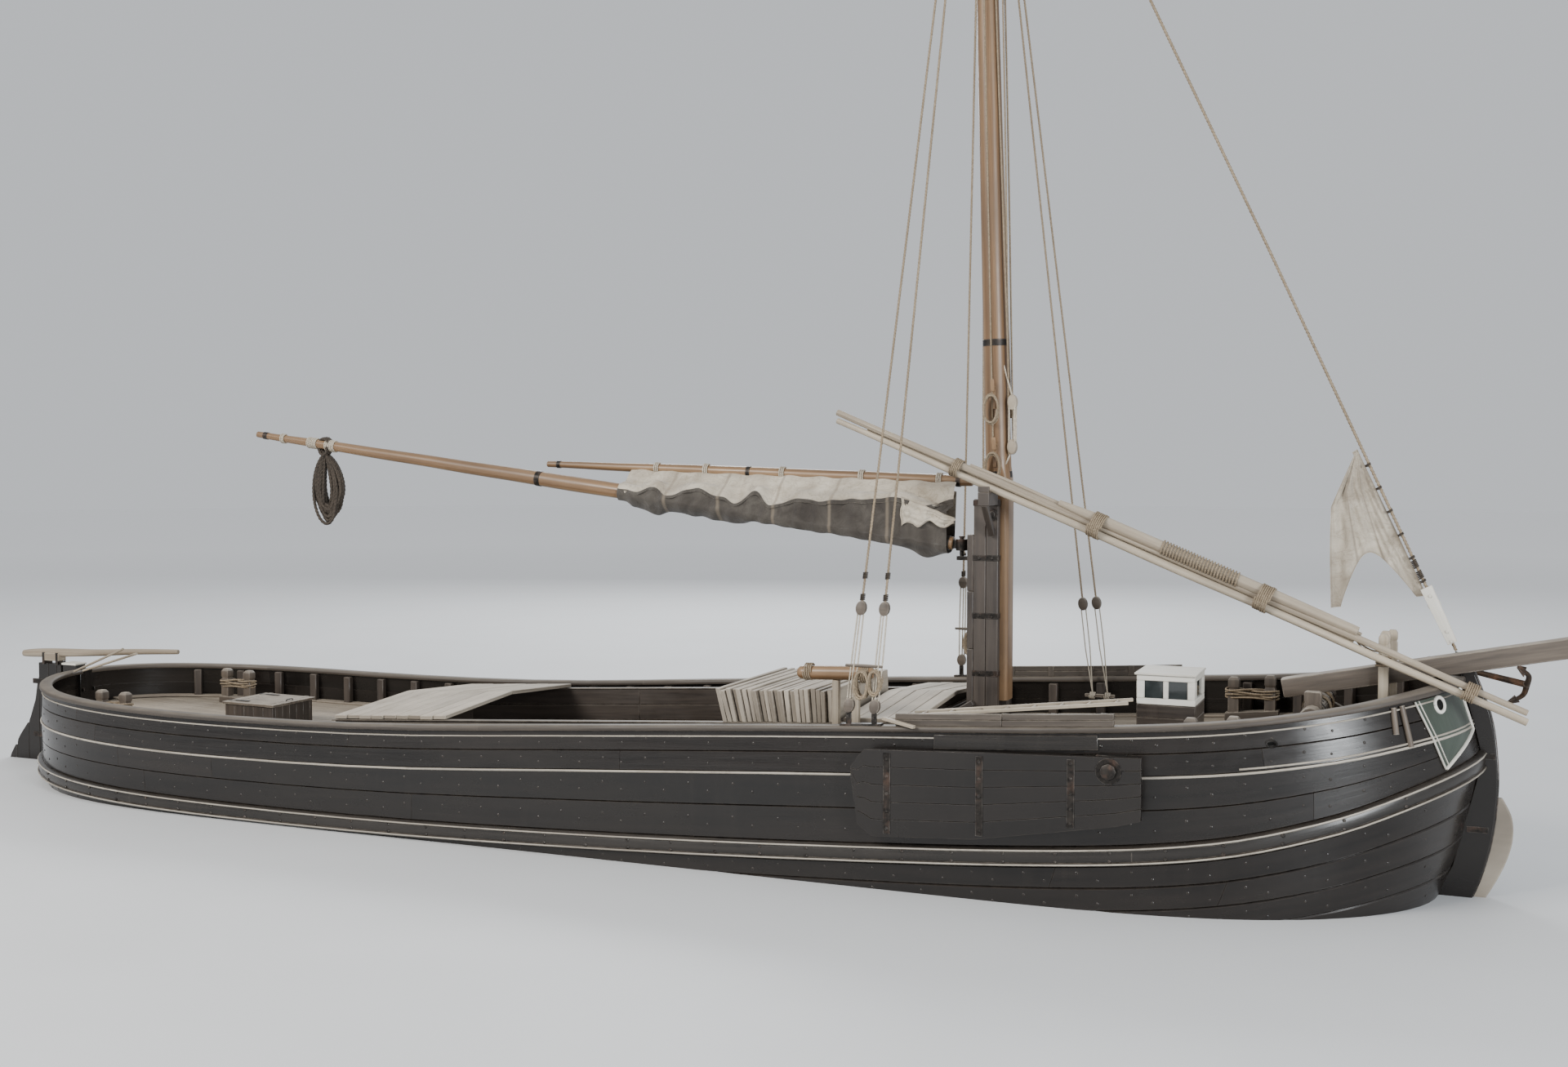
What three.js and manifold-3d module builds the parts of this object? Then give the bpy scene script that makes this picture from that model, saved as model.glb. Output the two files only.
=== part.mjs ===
// A flat-bottomed wooden sailing river barge: bluff planked hull, open hold, lowering mast in a
// tabernacle, boom and gaff with a furled mainsail, bowsprit, leeboards and an outboard rudder.
// Millimetres. +X runs to the bow, +Y to port, +Z up. The origin is on the flat bottom, amidships.
import * as THREE from 'three';
import { mergeVertices } from 'three/addons/utils/BufferGeometryUtils.js';
import Module from 'manifold-3d';

const wasm = await Module();
wasm.setup();

// Driving dimensions
const gap = 0.3;
const plank = 70;
const stemHalf = 89.4;
const endHalf = 90;
const bowShoulder = 4000;
const sternShoulder = -4500;
const hold = { aft: -3400, fore: 3600, half: 1330, wall: 60, above: 400, below: 260, floorZ: 300 };
const deckThick = 60;
const railThick = 55;
const bulwark = 400;
const pivot = { x: 4040, z: 4500 };
const mastTop = { x: 3760, z: 14050 };
const hounds = { x: 3800, z: 13150 };
const mastHalf = 135;
const mastBolt = 35;
const gooseneck = { x: 3640, z: 4170 };
const boomTip = { x: -5640, z: 5380 };
const gaffY = 340;
const gaffHeel = { x: 3660, z: 4830 };
const gaffPeak = { x: -1560, z: 5010 };
const stayFoot = { x: 8480, z: 3270 };
const shroudFoot = { x: 3210, y: 1905, z: 2640 };
const rudderAxis = { x: -8990, pin: 18, eye: 45, heights: [480, 1250, 1980] };
const leeHead = { x: 5640, y: 2110, z: 2290 };
const windlass = { x: 7250, z: 2680, radius: 115 };

// Hull levels from the bottom edge to the rail: half beam, where each level meets the stem and the
// sternpost, and how full its ends are
const levels = [
  { name: 'bottomEdge', half: 1450, bow: 7250, stern: -7350, fullness: 2.2 },
  { name: 'lowBilge', half: 1780, bow: 8080, stern: -8120, fullness: 2.5 },
  { name: 'highBilge', half: 1925, bow: 8480, stern: -8500, fullness: 2.8 },
  { name: 'waleLow', half: 1970, bow: 8700, stern: -8700, fullness: 3.1 },
  { name: 'waleHigh', half: 1970, bow: 8700, stern: -8700, fullness: 3.1 },
  { name: 'seam', half: 1965, bow: 8640, stern: -8700, fullness: 3.2 },
  { name: 'rail', half: 1930, bow: 8530, stern: -8690, fullness: 3.2 },
];

// Heights of the level lines at stations along the hull
const sheer = [
  { x: -8900, lowBilge: 360, highBilge: 800, wale: 1240, rail: 2190 },
  { x: -7500, lowBilge: 310, highBilge: 690, wale: 1130, rail: 2120 },
  { x: -5000, lowBilge: 280, highBilge: 620, wale: 1060, rail: 2070 },
  { x: -2500, lowBilge: 270, highBilge: 600, wale: 1060, rail: 2110 },
  { x: 0, lowBilge: 270, highBilge: 610, wale: 1130, rail: 2260 },
  { x: 2500, lowBilge: 275, highBilge: 640, wale: 1250, rail: 2420 },
  { x: 5000, lowBilge: 290, highBilge: 720, wale: 1420, rail: 2560 },
  { x: 6500, lowBilge: 330, highBilge: 850, wale: 1590, rail: 2670 },
  { x: 7500, lowBilge: 400, highBilge: 1020, wale: 1830, rail: 2800 },
  { x: 8200, lowBilge: 480, highBilge: 1180, wale: 2080, rail: 2930 },
  { x: 8900, lowBilge: 560, highBilge: 1340, wale: 2340, rail: 3050 },
];

function heightAt(column, x) {
  const last = sheer.length - 1;
  let i = 0;
  while (i < last - 1 && x > sheer[i + 1].x) i += 1;
  const before = sheer[Math.max(i - 1, 0)];
  const a = sheer[i];
  const b = sheer[i + 1];
  const after = sheer[Math.min(i + 2, last)];
  const slopeA = (b[column] - before[column]) / (b.x - before.x);
  const slopeB = (after[column] - a[column]) / (after.x - a.x);
  const span = b.x - a.x;
  const t = (x - a.x) / span;
  const t2 = t * t;
  const t3 = t2 * t;
  return (2 * t3 - 3 * t2 + 1) * a[column] + (t3 - 2 * t2 + t) * span * slopeA
    + (3 * t2 - 2 * t3) * b[column] + (t3 - t2) * span * slopeB;
}

const waleHalfHeight = 95;
const levelHeight = {
  bottomEdge: () => 0,
  lowBilge: (x) => heightAt('lowBilge', x),
  highBilge: (x) => heightAt('highBilge', x),
  waleLow: (x) => heightAt('wale', x) - waleHalfHeight,
  waleHigh: (x) => heightAt('wale', x) + waleHalfHeight,
  seam: (x) => heightAt('rail', x) - bulwark,
  rail: (x) => heightAt('rail', x),
};

// Half breadths as a share of the full beam, closing on the bow and the stern
const endShares = [1, 0.985, 0.95, 0.88, 0.77, 0.62, 0.46, 0.3, 0.16];
const midStations = [-3000, -1500, 0, 1500, 3000];

function endX(level, share, bow) {
  const shoulder = bow ? bowShoulder : sternShoulder;
  const end = bow ? level.bow : level.stern;
  return shoulder + (end - shoulder) * (1 - share * share) ** (1 / level.fullness);
}

function levelLine(level) {
  const lastShare = endHalf / level.half;
  const shares = endShares.filter((s) => s > lastShare * 1.2).concat(lastShare);
  while (shares.length < endShares.length + 1) shares.splice(-1, 0, (shares.at(-2) + shares.at(-1)) / 2);
  const stern = shares.map((s) => [endX(level, s, false), s * level.half]).reverse();
  const middle = midStations.map((x) => [x, level.half]);
  const bow = shares.map((s) => [endX(level, s, true), s * level.half]);
  return [...stern, ...middle, ...bow];
}

function offsetLine(line, distance) {
  return line.map(([x, y], i) => {
    const [x0, y0] = line[Math.max(i - 1, 0)];
    const [x1, y1] = line[Math.min(i + 1, line.length - 1)];
    const length = Math.hypot(x1 - x0, y1 - y0);
    return [x - (distance * (y1 - y0)) / length, y + (distance * (x1 - x0)) / length];
  });
}

const hullLines = levels.map((level) => levelLine(level));

function halfAt(levelName, x, inward = 0) {
  const line = offsetLine(hullLines[levels.findIndex((l) => l.name === levelName)], -inward);
  let i = 0;
  while (i < line.length - 2 && x > line[i + 1][0]) i += 1;
  const t = (x - line[i][0]) / (line[i + 1][0] - line[i][0]);
  return line[i][1] + t * (line[i + 1][1] - line[i][1]);
}

// Closed solid from a row of rings, each ring the same number of [x, y, z] points
function loft(rings) {
  const n = rings[0].length;
  const vertices = rings.flat(2);
  const faces = [];
  for (let r = 0; r < rings.length - 1; r += 1) {
    for (let i = 0; i < n; i += 1) {
      const j = (i + 1) % n;
      const a = r * n + i;
      const b = r * n + j;
      const c = (r + 1) * n + j;
      const d = (r + 1) * n + i;
      faces.push(a, b, c, a, c, d);
    }
  }
  const cap = (r, flip) => {
    const ring = rings[r].map((p) => new THREE.Vector3(...p));
    const normal = new THREE.Vector3();
    ring.forEach((p, i) => normal.add(p.clone().cross(ring[(i + 1) % n])));
    normal.normalize();
    const across = ring[1].clone().sub(ring[0]).normalize();
    const up = normal.clone().cross(across);
    const flat = ring.map((p) => new THREE.Vector2(p.dot(across), p.dot(up)));
    THREE.ShapeUtils.triangulateShape(flat, []).forEach(([a, b, c]) => {
      const triangle = flip ? [c, b, a] : [a, b, c];
      faces.push(...triangle.map((k) => r * n + k));
    });
  };
  cap(0, true);
  cap(rings.length - 1, false);
  const geometry = new THREE.BufferGeometry();
  geometry.setAttribute('position', new THREE.Float32BufferAttribute(vertices, 3));
  geometry.setIndex(faces);
  return outward(geometry);
}

function outward(geometry) {
  const p = geometry.attributes.position;
  const index = geometry.index.array;
  let volume = 0;
  const v = [0, 1, 2].map(() => new THREE.Vector3());
  for (let i = 0; i < index.length; i += 3) {
    v.forEach((corner, k) => corner.fromBufferAttribute(p, index[i + k]));
    volume += v[0].dot(v[1].clone().cross(v[2]));
  }
  if (volume < 0) {
    for (let i = 0; i < index.length; i += 3) [index[i], index[i + 2]] = [index[i + 2], index[i]];
  }
  return geometry;
}

function bare(geometry) {
  const copy = geometry.clone();
  copy.deleteAttribute('normal');
  copy.deleteAttribute('uv');
  return mergeVertices(copy, 1e-4);
}

function solid(geometry) {
  const merged = bare(geometry);
  return new wasm.Manifold(new wasm.Mesh({
    numProp: 3,
    vertProperties: new Float32Array(merged.attributes.position.array),
    triVerts: new Uint32Array(merged.index.array),
  }));
}

function fromSolid(manifold) {
  const result = manifold.getMesh();
  const geometry = new THREE.BufferGeometry();
  geometry.setAttribute('position', new THREE.Float32BufferAttribute(result.vertProperties, 3));
  geometry.setIndex(Array.from(result.triVerts));
  return geometry;
}

const join = (...parts) => fromSolid(parts.map(solid).reduce((a, b) => a.add(b)));
const cut = (body, ...tools) => fromSolid(tools.map(solid).reduce((a, b) => a.subtract(b), solid(body)));

function block(x, y, z) {
  const geometry = new THREE.BoxGeometry(x[1] - x[0], y[1] - y[0], z[1] - z[0]);
  return geometry.translate((x[0] + x[1]) / 2, (y[0] + y[1]) / 2, (z[0] + z[1]) / 2);
}

// Tapered round spar through a list of [distance, radius] along the line from a to b
function spar(a, b, radii, sides = 10) {
  const from = new THREE.Vector3(...a);
  const to = new THREE.Vector3(...b);
  const length = from.distanceTo(to);
  const outline = [[0, 0], ...radii.map(([share, r]) => [r, share * length]), [0, length]];
  const lathe = new THREE.LatheGeometry(outline.map(([r, h]) => new THREE.Vector2(r, h)), sides);
  const turn = new THREE.Quaternion().setFromUnitVectors(
    new THREE.Vector3(0, 1, 0),
    to.clone().sub(from).normalize(),
  );
  return bare(lathe.applyQuaternion(turn).translate(...a));
}

// Square timber from a to b, with its width along Y
function timber(a, b, width, depth) {
  const from = new THREE.Vector3(...a);
  const to = new THREE.Vector3(...b);
  const along = to.clone().sub(from).normalize();
  const side = new THREE.Vector3(0, 1, 0).addScaledVector(along, -along.y).normalize();
  const up = along.clone().cross(side).normalize();
  const corner = (end, s, u) => end.clone().addScaledVector(side, (s * width) / 2)
    .addScaledVector(up, (u * depth) / 2).toArray();
  const corners = [[-1, -1], [1, -1], [1, 1], [-1, 1]];
  return loft([from, to].map((end) => corners.map(([s, u]) => corner(end, s, u))));
}

// Outline in the XZ plane, given a thickness from y0 to y1
function plate(outline, y0, y1) {
  return loft([y0, y1].map((y) => outline.map(([x, z]) => [x, y, z])));
}

const meshes = new THREE.Group();
function add(name, geometry, color, roughness = 0.85, metalness = 0) {
  const plain = bare(geometry);
  plain.computeVertexNormals();
  const mesh = new THREE.Mesh(plain, new THREE.MeshStandardMaterial({ color, roughness, metalness }));
  mesh.name = name;
  meshes.add(mesh);
}

const colors = {
  tar: 0x1b1714, bottom: 0x2a1c16, wale: 0x2b2420, deck: 0x7d6f5c, paint: 0xd9d4c5,
  spar: 0xb08a55, oldWood: 0x9a8a70, canvas: 0xcfc5ac, rope: 0xa9946c, iron: 0x2e2c2b, coaming: 0x3a332c,
};
const sides = [{ name: 'starboard', s: -1 }, { name: 'port', s: 1 }];

// Side planking: one ring of outer and inner points for each station along the hull
function sidePlanking(s) {
  const inner = hullLines.map((line) => offsetLine(line, -plank));
  const z = (k, x) => levelHeight[levels[k].name](x);
  return loft(hullLines[0].map((_, i) => [
    ...hullLines.map((line, k) => [line[i][0], s * line[i][1], z(k, line[i][0])]),
    ...inner.map((line, k) => [line[i][0], s * line[i][1], z(k, hullLines[k][i][0])]).reverse(),
  ]));
}

// Band that follows one or two level lines outside the planking
function band(lowIndex, highIndex, from, to, lowRise, highRise, s) {
  const near = [lowIndex, highIndex].map((k) => offsetLine(hullLines[k], from));
  const far = [lowIndex, highIndex].map((k) => offsetLine(hullLines[k], to));
  const z = (k, i) => levelHeight[levels[k].name](hullLines[k][i][0]);
  return loft(hullLines[0].map((_, i) => [
    [near[0][i][0], s * near[0][i][1], z(lowIndex, i) + lowRise],
    [near[1][i][0], s * near[1][i][1], z(highIndex, i) + highRise],
    [far[1][i][0], s * far[1][i][1], z(highIndex, i) + highRise],
    [far[0][i][0], s * far[0][i][1], z(lowIndex, i) + lowRise],
  ]));
}

// Top of the rail cap, straight between the stations of the rail line
function railTop(x) {
  const line = hullLines.at(-1);
  let i = 0;
  while (i < line.length - 2 && x > line[i + 1][0]) i += 1;
  const [a, b] = [line[i][0], line[i + 1][0]];
  const t = (x - a) / (b - a);
  return (1 - t) * levelHeight.rail(a) + t * levelHeight.rail(b) + railThick + 2 * gap;
}

function bottomPlanking() {
  const line = offsetLine(hullLines[0], -(plank + gap)).filter(([, y]) => y > stemHalf);
  return loft(line.map(([x, y]) => [[x, -y, 0], [x, y, 0], [x, y, 60], [x, -y, 60]]));
}

// Stem and sternpost outlines follow the ends of the level lines
const endPoint = (name, x, away) => [x + away, levelHeight[name](x)];
const bowEnds = levels.map(({ name }, k) => endPoint(name, hullLines[k].at(-1)[0], gap));
const sternEnds = levels.map(({ name }, k) => endPoint(name, hullLines[k][0][0], -gap));
const stemFront = [[8640, 3090], [8790, 2680], [8850, 2300], [8860, 1900], [8800, 1400], [8640, 900],
  [8330, 420], [7900, 110], [7420, 0]];
const stemHeadAft = [8534, 3120];
const stayPlate = [[8530, 3080], [8640, 3060], [8560, 3235], [8470, 3264.5]];
function stem() {
  const aft = bowEnds.slice();
  aft[0] = [aft[0][0], 0];
  return join(plate([...aft, stemHeadAft, ...stemFront], -stemHalf, stemHalf), plate(stayPlate, -18, 18));
}

const finFront = [[8905, 1900], [8985, 1740], [9005, 1600], [8985, 1420], [8900, 1180], [8740, 880],
  [8480, 470]];
function stemFin() {
  const back = stemFront.filter(([, z]) => z < 1950 && z > 400).map(([x, z]) => [x + gap * 2, z]);
  return plate([...back.reverse(), ...finFront].reverse(), -35, 35);
}

const sternpostTop = 2285;
function sternpost() {
  const aft = [[-8930, sternpostTop], [-8930, 60], [-8700, 0]];
  const inboard = sternEnds.map((p, k) => (k === 0 ? [p[0], 0] : p));
  const post = plate([...inboard, [-8700, sternpostTop], ...aft], -stemHalf, stemHalf);
  const { x, pin, eye, heights } = rudderAxis;
  const irons = heights.flatMap((z) => [
    block([x - eye, -8900], [-eye, eye], [z - 40, z]),
    spar([x, 0, z - 20], [x, 0, z + 130], [[0, pin], [1, pin]], 12),
  ]);
  return join(post, ...irons);
}

// Deck stations: the deck is flat athwart and straight between them, so what stands on it can be fitted
const deckStations = [-8550, -8350, -8050, -7600, -7000, -6300, -5500, -4500, -3500, -2500, -1500, -500,
  500, 1500, 2500, 3700, 4500, 5300, 6100, 6800, 7300, 7700, 8050, 8300, 8450];
const deckLevel = (x) => levelHeight.seam(x);
function deckZ(x) {
  let i = 0;
  while (i < deckStations.length - 2 && x > deckStations[i + 1]) i += 1;
  const [a, b] = [deckStations[i], deckStations[i + 1]];
  return deckLevel(a) + ((x - a) / (b - a)) * (deckLevel(b) - deckLevel(a));
}
const deckHalf = (x) => halfAt('seam', x, plank) - 12;
const deckTop = (x) => deckZ(x) + gap;

function deckSlab(from, to) {
  const stations = deckStations.filter((x) => x > from && x < to);
  return loft([from, ...stations, to].map((x) => {
    const y = deckHalf(x);
    const z = deckZ(x);
    return [[x, -y, z - deckThick], [x, y, z - deckThick], [x, y, z], [x, -y, z]];
  }));
}

function sideDeck(s) {
  const stations = deckStations.filter((x) => x > hold.aft && x < hold.fore);
  const from = hold.half + hold.wall + gap;
  return loft([hold.aft + gap, ...stations, hold.fore - gap].map((x) => {
    const z = deckZ(x);
    const edge = s * deckHalf(x);
    return [[x, s * from, z - deckThick], [x, edge, z - deckThick], [x, edge, z], [x, s * from, z]];
  }));
}

// Block whose foot follows the deck; height is measured from the deck at each end
function standing(x0, x1, y0, y1, height0, height1 = height0) {
  const end = (x, height) => {
    const foot = deckTop(x);
    return [[x, y0, foot], [x, y1, foot], [x, y1, foot + height], [x, y0, foot + height]];
  };
  return loft([end(x0, height0), end(x1, height1)]);
}

// Upright whose foot follows the deck and whose head is level
function upright(x0, x1, y0, y1, top) {
  const end = (x) => [[x, y0, deckTop(x)], [x, y1, deckTop(x)], [x, y1, top], [x, y0, top]];
  return loft([end(x0), end(x1)]);
}

const coamingTop = (x) => {
  const t = (x - hold.aft) / (hold.fore - hold.aft);
  return (1 - t) * (deckZ(hold.aft) + hold.above) + t * (deckZ(hold.fore) + hold.above);
};
function coaming() {
  const outer = hold.half + hold.wall;
  const ring = (x, half, low, high) => [[x, -half, low], [x, half, low], [x, half, high], [x, -half, high]];
  const low = (x) => coamingTop(x) - hold.above - hold.below;
  const shell = loft([hold.aft, hold.fore].map((x) => ring(x, outer, low(x), coamingTop(x))));
  const inside = [hold.aft + hold.wall, hold.fore - hold.wall];
  return cut(shell, loft(inside.map((x) => ring(x, hold.half, low(x) - 300, coamingTop(x) + 300))));
}

function bulkhead(x0, x1) {
  const inner = (name, x) => halfAt(name, x, plank) - 25;
  return loft([x0, x1].map((x) => {
    const half = [
      [inner('bottomEdge', x), 60 + gap], [inner('lowBilge', x), levelHeight.lowBilge(x)],
      [inner('highBilge', x), levelHeight.highBilge(x)], [inner('waleLow', x), levelHeight.waleLow(x)],
      [inner('seam', x), deckZ(x) - deckThick - gap],
    ];
    return [...half.map(([y, z]) => [x, -y, z]).reverse(), ...half.map(([y, z]) => [x, y, z])];
  }));
}

// Hatch boards: a row of boards laid across the coaming, each with a low ridge in the middle
function hatchBoards(from, to) {
  const rise = 95;
  const thick = 45;
  const edge = hold.half + hold.wall - 5;
  return loft([from, to].map((x) => {
    const z = coamingTop(x) + gap;
    return [[x, -edge, z], [x, 0, z + rise], [x, edge, z], [x, edge, z + thick], [x, 0, z + rise + thick],
      [x, -edge, z + thick]];
  }));
}

const stack = { x0: 1480, x1: 2720, y0: -1385, y1: 480, height: 350, lean: 80 };
function boardStack() {
  const { x0, x1, y0, y1, height, lean } = stack;
  const end = (x, shift) => [[x, y0, coamingTop(x) + gap], [x, y1, coamingTop(x) + gap],
    [x + shift, y1, coamingTop(x) + height], [x + shift, y0, coamingTop(x) + height]];
  return loft([end(x0, -lean), end(x1, 0)]);
}

add('bottom_planking', bottomPlanking(), colors.bottom);
for (const { name, s } of sides) {
  add(`side_planking_${name}`, sidePlanking(s), colors.tar);
  add(`wale_${name}`, band(3, 4, gap, 75, 0, 0, s), colors.wale);
  add(`rail_${name}`, band(6, 6, -plank - 45, 40, gap, gap + railThick, s), colors.oldWood);
  add(`side_deck_${name}`, sideDeck(s), colors.deck);
}
add('stem', stem(), colors.tar);
add('stem_fin', stemFin(), colors.oldWood);
add('sternpost', sternpost(), colors.tar);

const companion = { x0: -5900, x1: -5150, half: 380, wall: 50, height: 300 };
const companionHole = block(
  [companion.x0 + companion.wall, companion.x1 - companion.wall],
  [-companion.half + companion.wall, companion.half - companion.wall],
  [1000, 3000],
);
add('afterdeck', cut(deckSlab(-8560, hold.aft - gap), companionHole), colors.deck);
add('foredeck', deckSlab(hold.fore + gap, 8380), colors.deck);
add('hold_coaming', coaming(), colors.coaming);
const floorHalf = 1580;
const floorX = [hold.aft - 20 + gap, hold.fore + 20 - gap];
add('hold_floor', block(floorX, [-floorHalf, floorHalf], [hold.floorZ, hold.floorZ + 40]), colors.deck);
add('fore_bulkhead', bulkhead(hold.fore + 20, hold.fore + 70), colors.deck);
add('aft_bulkhead', bulkhead(hold.aft - 70, hold.aft - 20), colors.deck);
add('hatch_boards_fore', hatchBoards(2830, hold.fore), colors.paint);
add('hatch_boards_aft', hatchBoards(hold.aft, -1900), colors.oldWood);
add('hatch_board_stack', boardStack(), colors.paint);

// Companion over the aft cabin: four walls round the opening, and a hinged lid
const companionTop = (x) => deckTop(x) + companion.height;
function companionBox() {
  const shell = standing(companion.x0, companion.x1, -companion.half, companion.half, companion.height);
  return cut(shell, companionHole);
}
function companionLid() {
  const over = 25;
  const z = (x) => companionTop(x) + gap;
  return loft([companion.x0 - over, companion.x1 + over].map((x) => [
    [x, -companion.half - over, z(x)], [x, companion.half + over, z(x)],
    [x, companion.half + over, z(x) + 36], [x, -companion.half - over, z(x) + 36],
  ]));
}
add('companion', companionBox(), colors.coaming);
add('companion_lid', companionLid(), colors.oldWood);

// Skylight on the foredeck: a white box with two panes cut in each side
const skylight = { x0: 5620, x1: 6180, y0: -720, y1: -120, height: 800, sill: 560, head: 730 };
function skylightBox() {
  const { x0, x1, y0, y1, height, sill, head } = skylight;
  const wall = 45;
  const shell = standing(x0, x1, y0, y1, height, height - 30);
  const low = deckTop(x0);
  const inside = block([x0 + wall, x1 - wall], [y0 + wall, y1 - wall], [low - 100, low + height - 70]);
  const middle = (x0 + x1) / 2;
  const pane = (a, b) => block([a, b], [y0 - 50, y1 + 50], [low + sill, low + head]);
  return cut(shell, inside, pane(x0 + 75, middle - 25), pane(middle + 25, x1 - 75));
}
add('skylight', skylightBox(), colors.paint);

// Tabernacle: two cheeks and a back board, open forward so that the mast heel can swing out
const cheek = { x0: 3840, x1: 4100, inner: 158, outer: 250, top: 4660, backTop: 4290, crutch: 4738 };
function tabernacle() {
  const side = (s) => upright(cheek.x0, cheek.x1, s * cheek.inner, s * cheek.outer, cheek.top);
  const backBoard = upright(cheek.x0 - 70, cheek.x0 + 10, -cheek.outer, cheek.outer, cheek.backTop);
  const armX = [gooseneck.x - 45, cheek.x0 - 60];
  const arm = (z) => block(armX, [-45, 45], [gooseneck.z + z - 22, gooseneck.z + z + 22]);
  const onPin = (z) => [gooseneck.x, 0, gooseneck.z + z];
  const pin = spar(onPin(-160), onPin(90), [[0, 22], [1, 22]]);
  const bolt = spar([pivot.x, -275, pivot.z], [pivot.x, 275, pivot.z], [[0, mastBolt], [1, mastBolt]], 16);
  const crutch = block([3980, 4100], [-600, -200], [4600, cheek.crutch]);
  const stop = block([3980, 4100], [-600, -570], [4600, cheek.crutch + 60]);
  return join(side(-1), side(1), backBoard, arm(-140), pin, crutch, stop, bolt);
}
add('tabernacle', tabernacle(), colors.coaming);

function mast() {
  const heel = block([pivot.x - mastHalf, pivot.x + mastHalf], [-mastHalf, mastHalf], [2560, 4900]);
  const pole = spar(
    [pivot.x, 0, 4800],
    [mastTop.x, 0, mastTop.z],
    [[0, mastHalf], [0.45, mastHalf * 0.88], [0.9, 88], [0.905, 60], [1, 45]],
    14,
  );
  const collar = spar([hounds.x, 0, hounds.z - 130], [hounds.x - 5, 0, hounds.z], [[0, 98], [1, 115]], 14);
  const boreRadius = mastBolt + 1;
  const onBolt = (y) => [pivot.x, y, pivot.z];
  const bore = spar(onBolt(-275), onBolt(275), [[0, boreRadius], [1, boreRadius]], 20);
  return cut(join(heel, pole, collar), bore);
}
add('mast', mast(), colors.spar, 0.6);

// Boom with an eye on the gooseneck pin, gaff stowed along its port side, furled canvas between
function boomPole(grow) {
  const from = [gooseneck.x - 90, 0, gooseneck.z + 10];
  const radii = [[0, 70], [0.04, 84], [0.5, 88], [0.85, 62], [1, 38]];
  return spar(from, [boomTip.x, 0, boomTip.z], radii.map(([share, r]) => [share, r + grow]), 12);
}
function boom() {
  const pole = boomPole(0);
  const onPin = (z) => [gooseneck.x, 0, gooseneck.z + z];
  const eye = spar(onPin(-60), onPin(60), [[0, 62], [1, 62]], 16);
  const neck = block([gooseneck.x - 120, gooseneck.x - 30], [-30, 30], [gooseneck.z - 40, gooseneck.z + 50]);
  const bore = spar(onPin(-100), onPin(100), [[0, 23.2], [1, 23.2]], 16);
  return cut(join(pole, eye, neck), bore);
}
add('boom', boom(), colors.spar, 0.6);

function gaff(grow) {
  const heel = [gaffHeel.x, gaffY, gaffHeel.z];
  const peak = [gaffPeak.x, gaffY - 60, gaffPeak.z];
  return spar(heel, peak, [[0, 50 + grow], [0.06, 66 + grow], [0.6, 64 + grow], [1, 36 + grow]], 10);
}
add('gaff', gaff(0), colors.spar, 0.6);

// Furled mainsail as one plain bundle: x, low edge, top beside the boom, top beside the gaff
const bundle = [
  { x: 3250, low: 4020, inner: 4500, high: 4900 },
  { x: 2500, low: 4100, inner: 4640, high: 4930 },
  { x: 1400, low: 4180, inner: 4700, high: 4960 },
  { x: 400, low: 4270, inner: 4760, high: 4990 },
  { x: -400, low: 4560, inner: 4800, high: 5010 },
];
function furledMainsail() {
  const canvas = loft(bundle.map(({ x, low, inner, high }) => [
    [x, 50, low], [x, 200, low + 20], [x, 300, high - 60], [x, 200, high], [x, 155, inner], [x, 50, inner],
  ]));
  return cut(canvas, boomPole(gap * 2), gaff(gap * 2));
}
add('furled_mainsail', furledMainsail(), colors.canvas, 0.95);

// Standing rigging
const forestayTop = [hounds.x + 115.5, 0, hounds.z - 60];
function forestay() {
  return spar(forestayTop, [stayFoot.x, 0, stayFoot.z], [[0, 16], [1, 16]], 8);
}
add('forestay', forestay(), colors.rope, 0.8);

function shrouds(s) {
  const foot = (x) => [x, s * shroudFoot.y, shroudFoot.z];
  const feet = [shroudFoot.x - 130, shroudFoot.x + 130];
  const head = (i) => [hounds.x - 20 + i * 24, s * 132, hounds.z - 70];
  const ropes = feet.map((x, i) => spar(foot(x), head(i), [[0, 14], [1, 12]], 8));
  const bar = spar([feet[0] - 60, s * 1835, 3080], [feet[1] + 60, s * 1835, 3080], [[0, 16], [1, 16]], 8);
  const seizingY = [s * 132 - 21, s * 132 + 21];
  const seizing = block([hounds.x - 55, hounds.x + 37], seizingY, [hounds.z - 180, hounds.z - 50]);
  return join(...ropes, bar, seizing);
}
function chainplate(s) {
  const { x, y, z } = shroudFoot;
  const onRail = (half, wide, top) => loft([x - half, x + half].map((end) => [
    [end, s * y - wide, railTop(end)], [end, s * y + wide, railTop(end)],
    [end, s * y + wide, top(end)], [end, s * y - wide, top(end)],
  ]));
  return join(onRail(190, 20, () => z - 3), onRail(210, 50, (end) => railTop(end) + 20));
}
for (const { name, s } of sides) {
  add(`shrouds_${name}`, shrouds(s), colors.rope, 0.8);
  add(`chainplate_${name}`, chainplate(s), colors.iron, 0.6, 0.7);
}

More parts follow.
